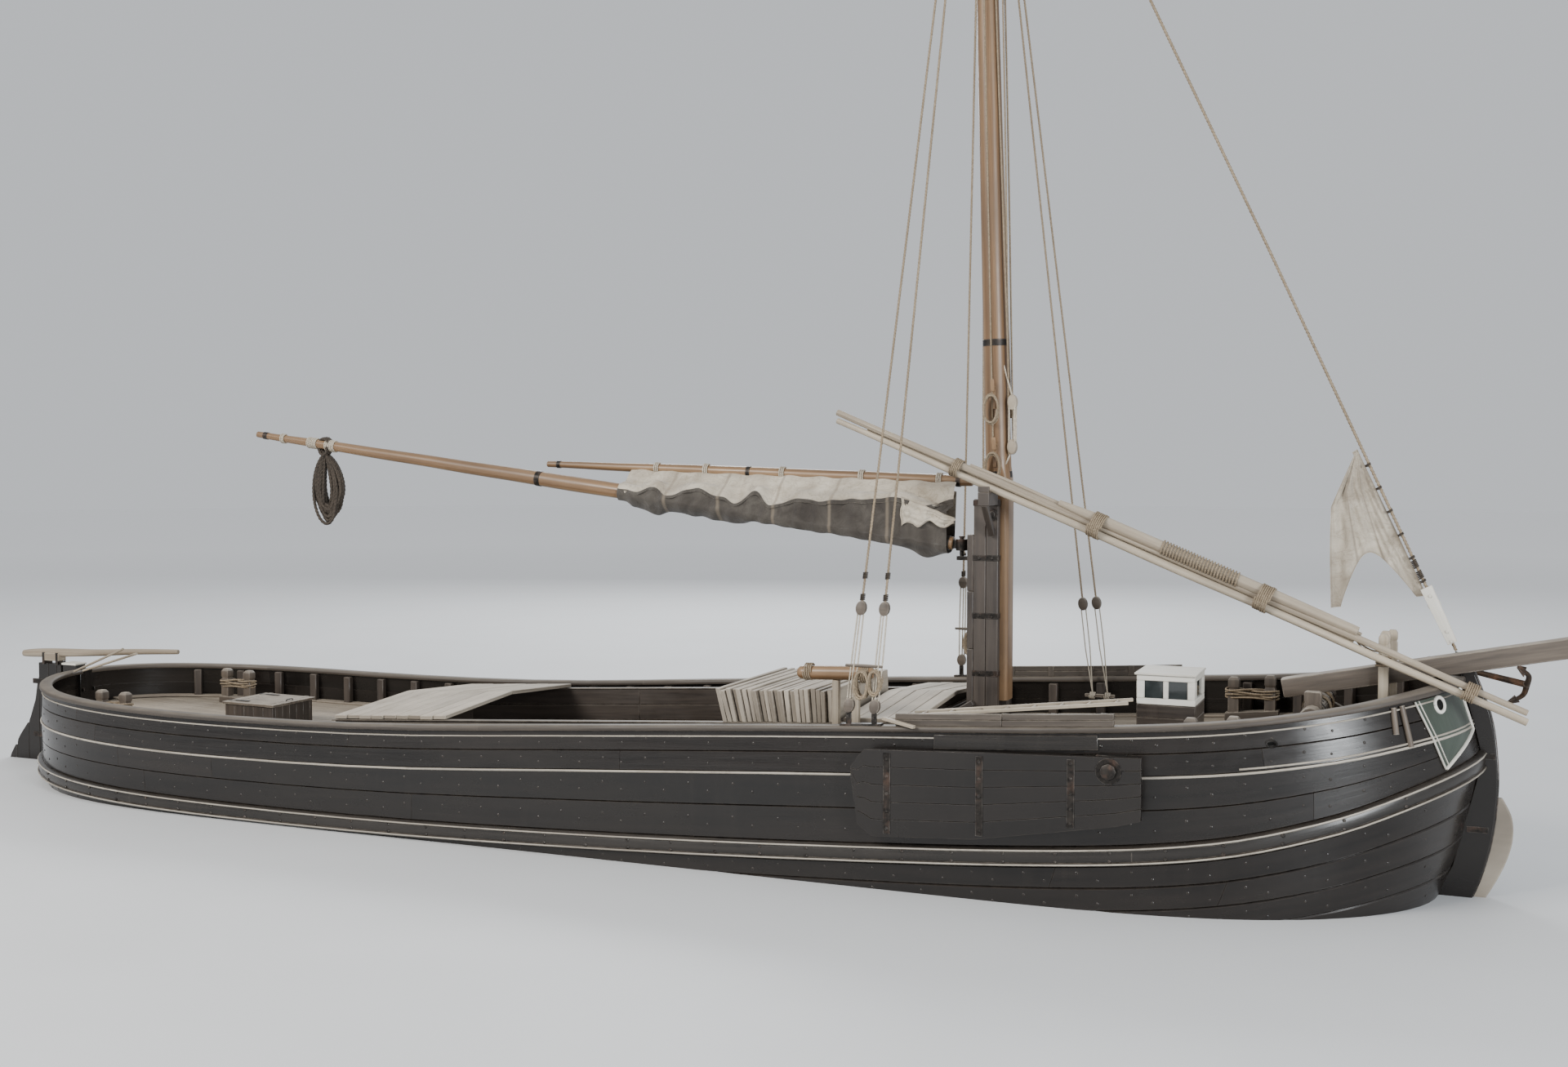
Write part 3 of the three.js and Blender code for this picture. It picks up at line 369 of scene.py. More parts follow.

# painted shade: the panes are opaque and near black, standing in for the dark cabin seen through the glass;
# the coat adds real reflections
tree, shader = newMaterial("paneGlass", "fittings")
spot = coordinates(tree, "object")
haze = noiseNode(tree, spot, 6.0, 4.0, 0.6)
feed(tree, shader["Base Color"], mixColour(tree, haze, (0.010, 0.013, 0.014, 1), (0.045, 0.052, 0.052, 1)))
feed(tree, shader["Roughness"], rangeNode(tree, haze, 0.3, 0.7, 0.04, 0.22))
shader["Coat Weight"].default_value = 0.4
feed(tree, shader["Normal"], bumpNode(tree, noiseNode(tree, spot, 3.0, 2.0), 0.15, 0.004))

tree, shader = newMaterial("studioFloor")
spot = coordinates(tree, "object")
mottle = noiseNode(tree, spot, 0.6, 4.0, 0.5)
near = mixColour(tree, mottle, (0.66, 0.67, 0.68, 1), (0.72, 0.73, 0.74, 1))
far = rangeNode(tree, vectorNode(tree, "LENGTH", spot), 14, 60)
feed(tree, shader["Base Color"], mixColour(tree, far, near, (0.97, 0.97, 0.97, 1)))
shader["Roughness"].default_value = 0.55


print("hull lines")
# The same level and height tables as the CAD hull, in metres
hullSettings = {
    "bowShoulder": 4.0, "sternShoulder": -4.5, "endHalf": 0.090, "waleHalf": 0.095, "bulwark": 0.40,
    "endSteps": 26, "midSteps": 10, "plank": 0.062, "seam": 0.0045, "seamDepth": 0.010, "butt": 0.004,
    "levels": [  # half beam, bow end, stern end, fullness: bottom edge, bilges, wale, seam, rail
        (1.450, 7.25, -7.35, 2.2), (1.780, 8.08, -8.12, 2.5), (1.925, 8.48, -8.50, 2.8),
        (1.970, 8.70, -8.70, 3.1), (1.970, 8.70, -8.70, 3.1), (1.965, 8.64, -8.70, 3.2),
        (1.930, 8.53, -8.69, 3.2)],
    "sheer": [  # x, low bilge, high bilge, wale, rail
        (-8.9, 0.36, 0.80, 1.24, 2.19), (-7.5, 0.31, 0.69, 1.13, 2.12), (-5.0, 0.28, 0.62, 1.06, 2.07),
        (-2.5, 0.27, 0.60, 1.06, 2.11), (0.0, 0.27, 0.61, 1.13, 2.26), (2.5, 0.275, 0.64, 1.25, 2.42),
        (5.0, 0.29, 0.72, 1.42, 2.56), (6.5, 0.33, 0.85, 1.59, 2.67), (7.5, 0.40, 1.02, 1.83, 2.80),
        (8.2, 0.48, 1.18, 2.08, 2.93), (8.9, 0.56, 1.34, 2.34, 3.05)],
    "strakes": [(0, 1), (1, 1.5), (1.5, 2), (2, 2.33), (2.33, 2.67), (2.67, 3), (3, 4), (4, 4.5), (4.5, 5),
                (5, 5.5), (5.5, 6)],
}


def hermite(low, high, slopeLow, slopeHigh, span, t):
    return ((2 * t ** 3 - 3 * t ** 2 + 1) * low + (t ** 3 - 2 * t ** 2 + t) * span * slopeLow
        + (3 * t ** 2 - 2 * t ** 3) * high + (t ** 3 - t ** 2) * span * slopeHigh)


def heightAt(column, x):
    table = hullSettings["sheer"]
    i = 0
    while i < len(table) - 2 and x > table[i + 1][0]:
        i += 1
    before, a, b, after = table[max(i - 1, 0)], table[i], table[i + 1], table[min(i + 2, len(table) - 1)]
    slopeA = (b[column] - before[column]) / (b[0] - before[0])
    slopeB = (after[column] - a[column]) / (after[0] - a[0])
    return hermite(a[column], b[column], slopeA, slopeB, b[0] - a[0], (x - a[0]) / (b[0] - a[0]))


def levelZ(level, x):
    if level == 0:
        return 0.0
    if level < 3:
        return heightAt(level, x)
    if level < 5:
        return heightAt(3, x) + (hullSettings["waleHalf"] if level == 4 else -hullSettings["waleHalf"])
    return heightAt(4, x) - (hullSettings["bulwark"] if level == 5 else 0)


def levelPoint(level, w):
    # w runs from -1 at the sternpost, over -0.4 and 0.4 at the shoulders, to 1 at the stem
    half, bow, stern, fullness = hullSettings["levels"][level]
    shoulder, end = (hullSettings["bowShoulder"], bow) if w > 0 else (hullSettings["sternShoulder"], stern)
    if abs(w) <= 0.4:
        x = hullSettings["sternShoulder"] + (w + 0.4) / 0.8 * (hullSettings["bowShoulder"]
            - hullSettings["sternShoulder"])
        return Vector((x, half, levelZ(level, x)))
    lastAngle = asin(hullSettings["endHalf"] / half)
    angle = pi / 2 - (pi / 2 - lastAngle) * ((abs(w) - 0.4) / 0.6) ** 1.6
    x = shoulder + (end - shoulder) * cos(angle) ** (2 / fullness)
    return Vector((x, half * sin(angle), levelZ(level, x)))


def hullPoint(w, v):
    # v is the level, from 0 at the bottom edge to 6 at the rail; round below the wale, flat strakes above
    if v >= 3:
        low = min(int(v), 5)
        return levelPoint(low, w).lerp(levelPoint(low + 1, w), v - low)
    points = [levelPoint(level, w) for level in range(4)]
    runs = [0.0]
    for a, b in zip(points, points[1:]):
        runs.append(runs[-1] + max((b - a).length, 1e-5))
    i = min(int(v), 2)
    t = v - i

    def slope(k):
        a, b = max(k - 1, 0), min(k + 1, 3)
        return (points[b] - points[a]) / (runs[b] - runs[a])
    return hermite(points[i], points[i + 1], slope(i), slope(i + 1), runs[i + 1] - runs[i], t)


def hullNormal(w, v):
    step = 0.004
    along = hullPoint(min(w + step, 1), v) - hullPoint(max(w - step, -1), v)
    up = hullPoint(w, min(v + 0.05, 6)) - hullPoint(w, max(v - 0.05, 0))
    return up.cross(along).normalized()


def hullRun():
    # stations from stern to bow, with both shoulders among them
    ends, middle = hullSettings["endSteps"], hullSettings["midSteps"]
    stern = [-1 + 0.6 * i / ends for i in range(ends)]
    mid = [-0.4 + 0.8 * i / middle for i in range(middle)]
    bow = [0.4 + 0.6 * i / ends for i in range(ends + 1)]
    return stern + mid + bow


def findW(x, v):
    # station at which the hull level v passes x
    low, high = -1.0, 1.0
    for _ in range(40):
        middle = (low + high) / 2
        if hullPoint(middle, v).x < x:
            low = middle
        else:
            high = middle
    return (low + high) / 2


def railZ(x):
    return heightAt(4, x)


def deckZ(x):
    return heightAt(4, x) - hullSettings["bulwark"]


def deckHalf(x, inset=0.08):
    w = findW(x, 5)
    return max(hullPoint(w, 5).y - inset, 0.02)


# Floor at the waterline, left open where the hull passes through it
def waterlinePoint(w):
    low, high = 0.5, 4.0
    for _ in range(30):
        middle = (low + high) / 2
        low, high = (middle, high) if hullPoint(w, middle).z < waterline else (low, middle)
    return hullPoint(w, low) - hullNormal(w, low) * 0.03


floorReach = 120
inner = [waterlinePoint(w) for w in hullRun()]
inner = [(p.x, -max(p.y, 0.02), waterline) for p in inner] + [(p.x, max(p.y, 0.02), waterline)
    for p in inner[::-1]]
outer = []
for x, y, _ in inner:
    away = Vector((x, y * 4.5)).normalized() * floorReach
    outer.append((away.x, away.y, waterline))
floorMesh = bpy.data.meshes.new("studioFloor")
count = len(inner)
floorMesh.from_pydata(inner + outer, [], [(i, count + i, count + (i + 1) % count, (i + 1) % count)
    for i in range(count)])
floorMesh.materials.append(materials["studioFloor"])
floor = bpy.data.objects.new("studioFloor", floorMesh)
bpy.context.collection.objects.link(floor)


def around(count, shift=0.0, more=0):
    # angles round a circle; more is 1 where the last closes it
    return [2 * pi * (k + shift) / count for k in range(count + more)]


def between(a, b, count):
    return [a.lerp(b, i / count) for i in range(count + 1)]


def onSide(p, s):
    return Vector((p.x, s * p.y, p.z))


class Joinery:
    # Gathers closed solids into one mesh, each with grain along it and a tone of its own
    def __init__(self, seed=1):
        self.points, self.faces, self.uvs, self.tones = [], [], [], []
        self.dice = random.Random(seed)

    def loft(self, rings, caps=True):
        tone = self.dice.random()
        shift = (self.dice.uniform(0, 40), self.dice.uniform(0, 40))
        start, n = len(self.points), len(rings[0])
        rings = [[Vector(p) for p in ring] for ring in rings]
        runs = [0.0]
        for a, b in zip(rings, rings[1:]):
            runs.append(runs[-1] + (sum(b, Vector()) / n - sum(a, Vector()) / n).length)
        girth = [0.0]
        for i in range(n):
            girth.append(girth[-1] + (rings[0][(i + 1) % n] - rings[0][i]).length)
        for ring in rings:
            self.points += [tuple(p) for p in ring]
            self.tones += [tone] * n
        volume = 0.0
        faces = []
        for r in range(len(rings) - 1):
            for i in range(n):
                j = (i + 1) % n
                faces.append(([r * n + i, r * n + j, (r + 1) * n + j, (r + 1) * n + i],
                    [(runs[r], girth[i]), (runs[r], girth[i + 1]), (runs[r + 1], girth[i + 1]),
                    (runs[r + 1], girth[i])]))
        if caps:
            for r, order in ((0, range(n - 1, -1, -1)), (len(rings) - 1, range(n))):
                face = [r * n + i for i in order]
                faces.append((face, [(0.05 * rings[r][i].x + rings[r][i].z, rings[r][i].y) for i in order]))
        flat = [p for ring in rings for p in ring]
        centre = sum(flat, Vector()) / len(flat)
        for face, _ in faces:
            a = flat[face[0]] - centre
            for b, c in zip(face[1:], face[2:]):
                volume += a.dot((flat[b] - centre).cross(flat[c] - centre))
        for face, uv in faces:
            if volume < 0:
                face, uv = face[::-1], uv[::-1]
            self.faces.append([start + k for k in face])
            self.uvs += [(u + shift[0], v + shift[1]) for u, v in uv]
        return self

    def box(self, low, high, along=0):
        # box between two corners, its grain along axis 0, 1 or 2
        a, b = [axis for axis in range(3) if axis != along]
        rings = []
        for end in (low[along], high[along]):
            ring = []
            for i, j in ((0, 0), (1, 0), (1, 1), (0, 1)):
                p = [0, 0, 0]
                p[along] = end
                p[a] = (low[a], high[a])[i]
                p[b] = (low[b], high[b])[j]
                ring.append(p)
            rings.append(ring)
        return self.loft(rings)

    def beam(self, start, end, width, depth, endWidth=None, endDepth=None, side=(0, 1, 0)):
        # squared timber between two points; width along side
        start, end = Vector(start), Vector(end)
        along = (end - start).normalized()
        side = (Vector(side) - along * Vector(side).dot(along)).normalized()
        up = along.cross(side)
        sizes = ((width, depth), (endWidth or width, endDepth or depth))
        return self.loft([[p + side * (s * w / 2) + up * (u * d / 2)
            for s, u in ((-1, -1), (1, -1), (1, 1), (-1, 1))] for p, (w, d) in zip((start, end), sizes)])

    def round(self, path, radii, sides=16, flatten=1.0, caps=True):
        # round spar or tube through points; radii one for each point
        path = [Vector(p) for p in path]
        radii = radii if hasattr(radii, "__len__") else [radii] * len(path)
        rings, side = [], None
        for i, p in enumerate(path):
            along = (path[min(i + 1, len(path) - 1)] - path[max(i - 1, 0)]).normalized()
            if side is None:
                side = along.cross(Vector((0, 0, 1)) if abs(along.z) < 0.9 else Vector((0, 1,
                    0))).normalized()
            side = (side - along * side.dot(along)).normalized()
            up = along.cross(side)
            rings.append([p + (side * cos(t) + up * sin(t) * flatten) * radii[i] for t in around(sides)])
        return self.loft(rings, caps)

    def plate(self, outline, axis, low, high):
        # flat outline given a thickness along axis; outline holds the other two coordinates in order
        rings = []
        for level in (low, high):
            ring = []
            for a, b in outline:
                p = [a, b]
                p.insert(axis, level)
                ring.append(p)
            rings.append(ring)
        return self.loft(rings)

    def piece(self, name, material, body="hull", **more):
        mesh = bpy.data.meshes.new(name)
        mesh.from_pydata(self.points, [], self.faces)
        layer = mesh.uv_layers.new(name="UVMap")
        for loop, uv in zip(layer.data, self.uvs):
            loop.uv = uv
        toneLayer = mesh.attributes.new("tone", "FLOAT", "POINT")
        toneLayer.data.foreach_set("value", self.tones)
        return finishPiece(mesh, name, material, body, **more)


def slab(x, y0, y1, z0, z1):
    # upright cross section of a squared timber
    return [(x, y0, z0), (x, y1, z0), (x, y1, z1), (x, y0, z1)]


def finishPiece(mesh, name, material, body, slotName=None, bevel=0.0, smooth=38, node=None, steps=1):
    mesh.materials.clear()
    mesh.materials.append(materials[material])
    mesh.polygons.foreach_set("use_smooth", [True] * len(mesh.polygons))
    if smooth < 180:
        mesh.set_sharp_from_angle(angle=radians(smooth))
    piece = bpy.data.objects.new(name, mesh)
    bpy.context.collection.objects.link(piece)
    if bevel:
        modifier = piece.modifiers.new("eased", "BEVEL")
        modifier.width = bevel
        modifier.segments = steps
        modifier.limit_method = "ANGLE"
        modifier.angle_limit = radians(32)
        modifier.harden_normals = False
    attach(piece, body)
    slotName = slotName or slotOf[material]
    if node:
        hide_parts(node)
    return piece


print("hull planking")
sides = (("starboard", -1), ("port", 1))
run = hullRun()
for name, s in sides:
    planking = Joinery(11 + s)
    seam, depth, plank = hullSettings["seam"], hullSettings["seamDepth"], hullSettings["plank"]
    for number, (low, high) in enumerate(hullSettings["strakes"]):
        middle = hullPoint(0, (low + high) / 2)
        share = seam / max((hullPoint(0, high) - hullPoint(0, low)).length, 0.05) * (high - low)
        rows = [(low + share * 0.3, -depth), (low + share * 1.6, 0), (low + (high - low) * 0.35, 0),
            (low + (high - low) * 0.65, 0), (high - share * 1.6, 0), (high - share * 0.3, -depth),
            (high - share * 0.3, -plank), (low + share * 0.3, -plank)]
        stations = [(w, [hullPoint(w, v) + hullNormal(w, v) * lift for v, lift in rows]) for w in run]
        butts = [8 + (number * 11) % 13, 24 + (number * 7) % 11, 40 + (number * 5) % 12]
        starts = [0] + butts
        ends = butts + [len(run) - 1]
        for a, b in zip(starts, ends):
            rings = []
            for k in range(a, b + 1):
                ring = stations[k][1]
                if k == a and a > 0:
                    ring = [p + (stations[k + 1][1][i] - p).normalized() * hullSettings["butt"]
                        for i, p in enumerate(ring)]
                rings.append([onSide(p, s) for p in ring])
            planking.loft(rings)
    planking.piece("hullPlanks_" + name, "tarredHull", smooth=30, node="side_planking_" + name)

    # wale: a heavy rounded strake with a bead along each edge
    waleShape = [(0.04, 0.004), (0.04, 0.046), (0.10, 0.060), (0.20, 0.060), (0.235, 0.046), (0.30, 0.050),
        (0.5, 0.054), (0.70, 0.050), (0.765, 0.046), (0.80, 0.060), (0.90, 0.060), (0.96, 0.046),
        (0.96, 0.004)]
    wale = Joinery(31 + s)
    for a, b in ((0, 19), (19, 44), (44, len(run) - 1)):
        wale.loft([[onSide(p, s) for p in (hullPoint(w, 3 + share) + hullNormal(w, 3.5) * lift
            for share, lift in waleShape)] for w in run[a:b + 1]])
    wale.piece("waleStrake_" + name, "waleOak", smooth=50, node="wale_" + name)

    # beads along the seam under the bulwark and along the sheer strake; white trim on the wale edges, and a
    # painted highlight along the sheer strake under the rail cap
    bead = Joinery(41 + s)
    for level, radius, out, first in ((4.98, 0.013, 0.004, -1), (5.86, 0.009, 0.004, -1),
            (3.15, 0.009, 0.060, -1), (3.85, 0.009, 0.060, -1), (5.07, 0.010, 0.004, 0.66)):
        bead.round([onSide(p, s) for p in (hullPoint(w, level) + hullNormal(w, min(level, 5.9)) * out
            for w in run if w >= first)], radius, 6)
    bead.piece("paleBeadsAndHighlight_" + name, "paleBead", smooth=180)

    # rail cap: wide plank in scarfed lengths, rounded on top
    cap = Joinery(51 + s)
    capShape = [(0.032, 0.0), (0.042, 0.012), (0.040, 0.040), (0.024, 0.054), (-0.092, 0.055),
        (-0.110, 0.042), (-0.113, 0.010), (-0.105, 0.0)]

    def capRing(w, s=s):
        p = hullPoint(w, 6)
        out = hullPoint(min(w + 0.004, 1), 6) - hullPoint(max(w - 0.004, -1), 6)
        out = Vector((-out.y, out.x, 0)).normalized()
        ring = []
        for offset, lift in capShape:
            q = p + out * offset
            ring.append((q.x, s * max(q.y, 0.02), q.z + lift + 0.0005))
        return ring
    for a, b in ((0, 14), (14, 30), (30, 46), (46, len(run) - 1)):
        cap.loft([capRing(w) for w in run[a:b + 1]])
    cap.piece("railCap_" + name, "railOak", smooth=50, node="rail_" + name)


# flat bottom: planks along the hull, cut to its edge
bottom = Joinery(59)
spots = [-7.2 + 0.2 * i for i in range(73)]
halves = [(x, hullPoint(findW(x, 0), 0).y - 0.075) for x in spots]
for s in (-1, 1):
    for k in range(6):
        y0, y1 = k * 0.23 + 0.002, (k + 1) * 0.23 - 0.002
        reach = [x for x, half in halves if half > y0 + 0.03]
        rings = []
        for x, half in halves:
            if reach[0] <= x <= reach[-1]:
                a, b = sorted((s * y0, s * min(y1, half)))
                rings.append(slab(x, a, b, 0, 0.06))
        bottom.loft(rings)
bottom.piece("bottomPlanks", "bottomTar", bevel=0.004, node="bottom_planking")


print("geometry node tools")


def growTree(name, inputs):
    shape = [("Geometry", "Geometry", None)]
    return newTree(name, "GeometryNodeTree", shape + inputs + [("Material", "Material", None)],
        [("Geometry", "Geometry")])


def closeTree(tree, geometry, material, out):
    real = addNode(tree, "GeometryNodeRealizeInstances", {0: geometry})[0]
    link(tree, addNode(tree, "GeometryNodeSetMaterial", {"Geometry": real, "Material": material})[0],
        out["Geometry"])


def named(tree, name, kind):
    return addNode(tree, "GeometryNodeInputNamedAttribute", {"Name": name}, data_type=kind)[0]


# Heads of nails, pegs and bolts: one on each vertex, standing along its "facing" attribute
studTree, studIn, studOut = growTree("fasteningHeads", [("Radius", "Float", 0.010),
    ("Height", "Float", 0.004), ("Sides", "Int", 8), ("Crown", "Float", 0.6), ("Seed", "Int", 3)])
crown = times(studTree, studIn["Radius"], studIn["Crown"])
headShape = addNode(studTree, "GeometryNodeMeshCone", {"Vertices": studIn["Sides"], "Depth": studIn["Height"],
    "Radius Bottom": studIn["Radius"], "Radius Top": crown}, fill_type="NGON")["Mesh"]
turn = addNode(studTree, "FunctionNodeAlignRotationToVector", {"Vector": named(studTree, "facing",
    "FLOAT_VECTOR")}, axis="Z")[0]
size = addNode(studTree, "FunctionNodeRandomValue", {2: 0.85, 3: 1.15, "Seed": studIn["Seed"]},
    data_type="FLOAT")[1]
heads = addNode(studTree, "GeometryNodeInstanceOnPoints", {"Points": studIn["Geometry"],
    "Instance": headShape, "Rotation": turn, "Scale": size})[0]
closeTree(studTree, heads, studIn["Material"], studOut)

# Laid rope: strands twisted round a path of edges
ropeTree, ropeIn, ropeOut = growTree("laidRope", [("Radius", "Float", 0.012), ("Lay", "Float", 0.12),
    ("Step", "Float", 0.02), ("Strands", "Int", 3), ("Groove", "Float", 0.13)])
curve = addNode(ropeTree, "GeometryNodeMeshToCurve", {"Mesh": ropeIn["Geometry"]})[0]
curve = addNode(ropeTree, "GeometryNodeResampleCurve", {"Curve": curve, "Length": ropeIn["Step"]},
    mode="LENGTH")[0]
laid = addNode(ropeTree, "GeometryNodeSplineParameter")["Length"]
tilt = mathNode(ropeTree, "DIVIDE", times(ropeTree, laid, 2 * pi), ropeIn["Lay"])
curve = addNode(ropeTree, "GeometryNodeSetCurveTilt", {"Curve": curve, "Tilt": tilt})[0]
section = addNode(ropeTree, "GeometryNodeCurvePrimitiveCircle",
    {"Resolution": times(ropeTree, ropeIn["Strands"], 3.0), "Radius": ropeIn["Radius"]}, mode="RADIUS")
place = addNode(ropeTree, "GeometryNodeInputPosition")[0]
parts = addNode(ropeTree, "ShaderNodeSeparateXYZ", {0: place})
angle = mathNode(ropeTree, "ARCTAN2", parts["Y"], parts["X"])
wave = mathNode(ropeTree, "COSINE", times(ropeTree, angle, ropeIn["Strands"]))
lobes = scaleNode(ropeTree, place, plus(ropeTree, times(ropeTree, wave, ropeIn["Groove"]), 0.92))
profile = addNode(ropeTree, "GeometryNodeSetPosition", {"Geometry": section["Curve"], "Position": lobes})[0]
rope = addNode(ropeTree, "GeometryNodeCurveToMesh", {"Curve": curve, "Profile Curve": profile,
    "Fill Caps": True})[0]
closeTree(ropeTree, rope, ropeIn["Material"], ropeOut)

# Boards, ribs and cleats: one box on each vertex, turned by its "turn" attribute, each with its own tone
boardTree, boardIn, boardOut = growTree("boardRow", [("Size", "Vector", (0.1, 1.0, 0.03)),
    ("Along", "Vector", (0, 1, 0)), ("Across", "Vector", (1, 0, 0.7)), ("Jitter", "Float", 0.02),
    ("Seed", "Int", 5)])
jitter = addNode(boardTree, "ShaderNodeCombineXYZ", {i: boardIn["Jitter"] for i in range(3)})[0]
spread = addNode(boardTree, "FunctionNodeRandomValue", {0: (-1, -1, -1), "Seed": boardIn["Seed"]},
    data_type="FLOAT_VECTOR")[0]
spread = vectorNode(boardTree, "MULTIPLY_ADD", spread, jitter, (1.0, 1.0, 1.0))
box = addNode(boardTree, "GeometryNodeMeshCube", {"Size": boardIn["Size"]})["Mesh"]
row = addNode(boardTree, "GeometryNodeInstanceOnPoints", {"Points": boardIn["Geometry"], "Instance": box,
    "Rotation": named(boardTree, "turn", "FLOAT_VECTOR"), "Scale": spread})[0]
tone = addNode(boardTree, "FunctionNodeRandomValue", {"Seed": boardIn["Seed"]}, data_type="FLOAT")[1]
row = addNode(boardTree, "GeometryNodeStoreNamedAttribute", {"Name": "tone", "Geometry": row, "Value": tone},
    data_type="FLOAT", domain="INSTANCE")[0]
row = addNode(boardTree, "GeometryNodeRealizeInstances", {0: row})[0]
place, tone = addNode(boardTree, "GeometryNodeInputPosition")[0], named(boardTree, "tone", "FLOAT")
across = [mathNode(boardTree, "MULTIPLY_ADD", tone, shift, vectorNode(boardTree, "DOT_PRODUCT", place,
    boardIn[axis])) for axis, shift in (("Along", 37.0), ("Across", 11.0))]
uv = addNode(boardTree, "ShaderNodeCombineXYZ", {0: across[0], 1: across[1]})[0]
row = addNode(boardTree, "GeometryNodeStoreNamedAttribute", {"Name": "UVMap", "Geometry": row, "Value": uv},
    data_type="FLOAT2", domain="CORNER")[0]
closeTree(boardTree, row, boardIn["Material"], boardOut)


def runTree(tree, points, edges, values, name, material, body, attributes=None, **more):
    # grows a tree on a guide mesh and keeps the result as a plain piece
    guide = bpy.data.meshes.new(name + "Guide")
    guide.from_pydata([tuple(p) for p in points], edges, [])
    for label, vectors in (attributes or {}).items():
        layer = guide.attributes.new(label, "FLOAT_VECTOR", "POINT")
        layer.data.foreach_set("vector", [c for vector in vectors for c in vector])
    holder = bpy.data.objects.new(name + "Guide", guide)
    bpy.context.collection.objects.link(holder)
    modifier = holder.modifiers.new("grow", "NODES")
    modifier.node_group = tree
    sockets = {item.name: item.identifier for item in tree.interface.items_tree if item.in_out == "INPUT"}
    for label, value in values.items():
        modifier[sockets[label]] = value
    modifier[sockets["Material"]] = materials[material]
    shape = bpy.data.meshes.new_from_object(holder.evaluated_get(bpy.context.evaluated_depsgraph_get()))
    bpy.data.objects.remove(holder)
    shape.name = name
    return finishPiece(shape, name, material, body, **more)


def ropes(name, paths, radius, material="hempRope", body="hull", node=None):
    points, edges = [], []
    for path in paths:
        edges += [(len(points) + i, len(points) + i + 1) for i in range(len(path) - 1)]
        points += path
    values = {"Radius": radius, "Lay": radius * 7, "Step": radius * 7 / 6, "Strands": 3}
    return runTree(ropeTree, points, edges, values, name, material, body, smooth=180, node=node)


def studs(name, places, radius, height, material="tarredIron", body="hull", sides=8):
    values = {"Radius": radius, "Height": height, "Sides": sides, "Crown": 0.6}
    return runTree(studTree, [p for p, _ in places], [], values, name, material, body, smooth=40,
        attributes={"facing": [f for _, f in places]})


def boards(name, places, size, along, across, material, bevel, jitter=0.02, seed=5):
    # places: centre and Euler turn of each
    values = {"Size": size, "Along": along, "Across": across, "Jitter": jitter, "Seed": seed}
    return runTree(boardTree, [p for p, _ in places], [], values, name, material, "hull", bevel=bevel,
        attributes={"turn": [t for _, t in places]})


def curvePath(points, count):
    # smooth line through points, evenly enough for ropes and outlines
    points = [Vector(p) for p in points]
    line = []
    for i in range(count + 1):
        t = i / count * (len(points) - 1)
        k = min(int(t), len(points) - 2)
        a, b = points[k], points[k + 1]
        before = points[max(k - 1, 0)]
        after = points[min(k + 2, len(points) - 1)]
        line.append(hermite(a, b, (b - before) / 2, (after - a) / 2, 1.0, t - k))
    return line


def sagPath(start, end, sag, count=16):
    start, end = Vector(start), Vector(end)
    return [start.lerp(end, i / count) - Vector((0, 0, sag * 4 * (i / count) * (1 - i / count)))
        for i in range(count + 1)]


def coilPath(centre, axis, radius, turns, pitch, thick, wobble=0.06, seed=1, squash=1.0):
    # rope wound in a coil about axis
    dice = random.Random(seed)
    axis = Vector(axis).normalized()
    side = axis.cross(Vector((0, 0, 1)) if abs(axis.z) < 0.9 else Vector((1, 0, 0))).normalized()
    up = axis.cross(side)
    bumps = [dice.uniform(-wobble, wobble) for _ in range(64)]
    path = []
    for i in range(int(turns * 20) + 1):
        t = i / 20
        a = 2 * pi * t
        k = t * 3.1
        lift = bumps[int(k) % 64] * (1 - k % 1) + bumps[(int(k) + 1) % 64] * (k % 1)
        reach = radius * (1 + lift)
        path.append(Vector(centre) + side * cos(a) * reach + up * sin(a) * reach * squash + axis
            * (pitch * t - pitch * turns / 2 + thick * lift))
    return path


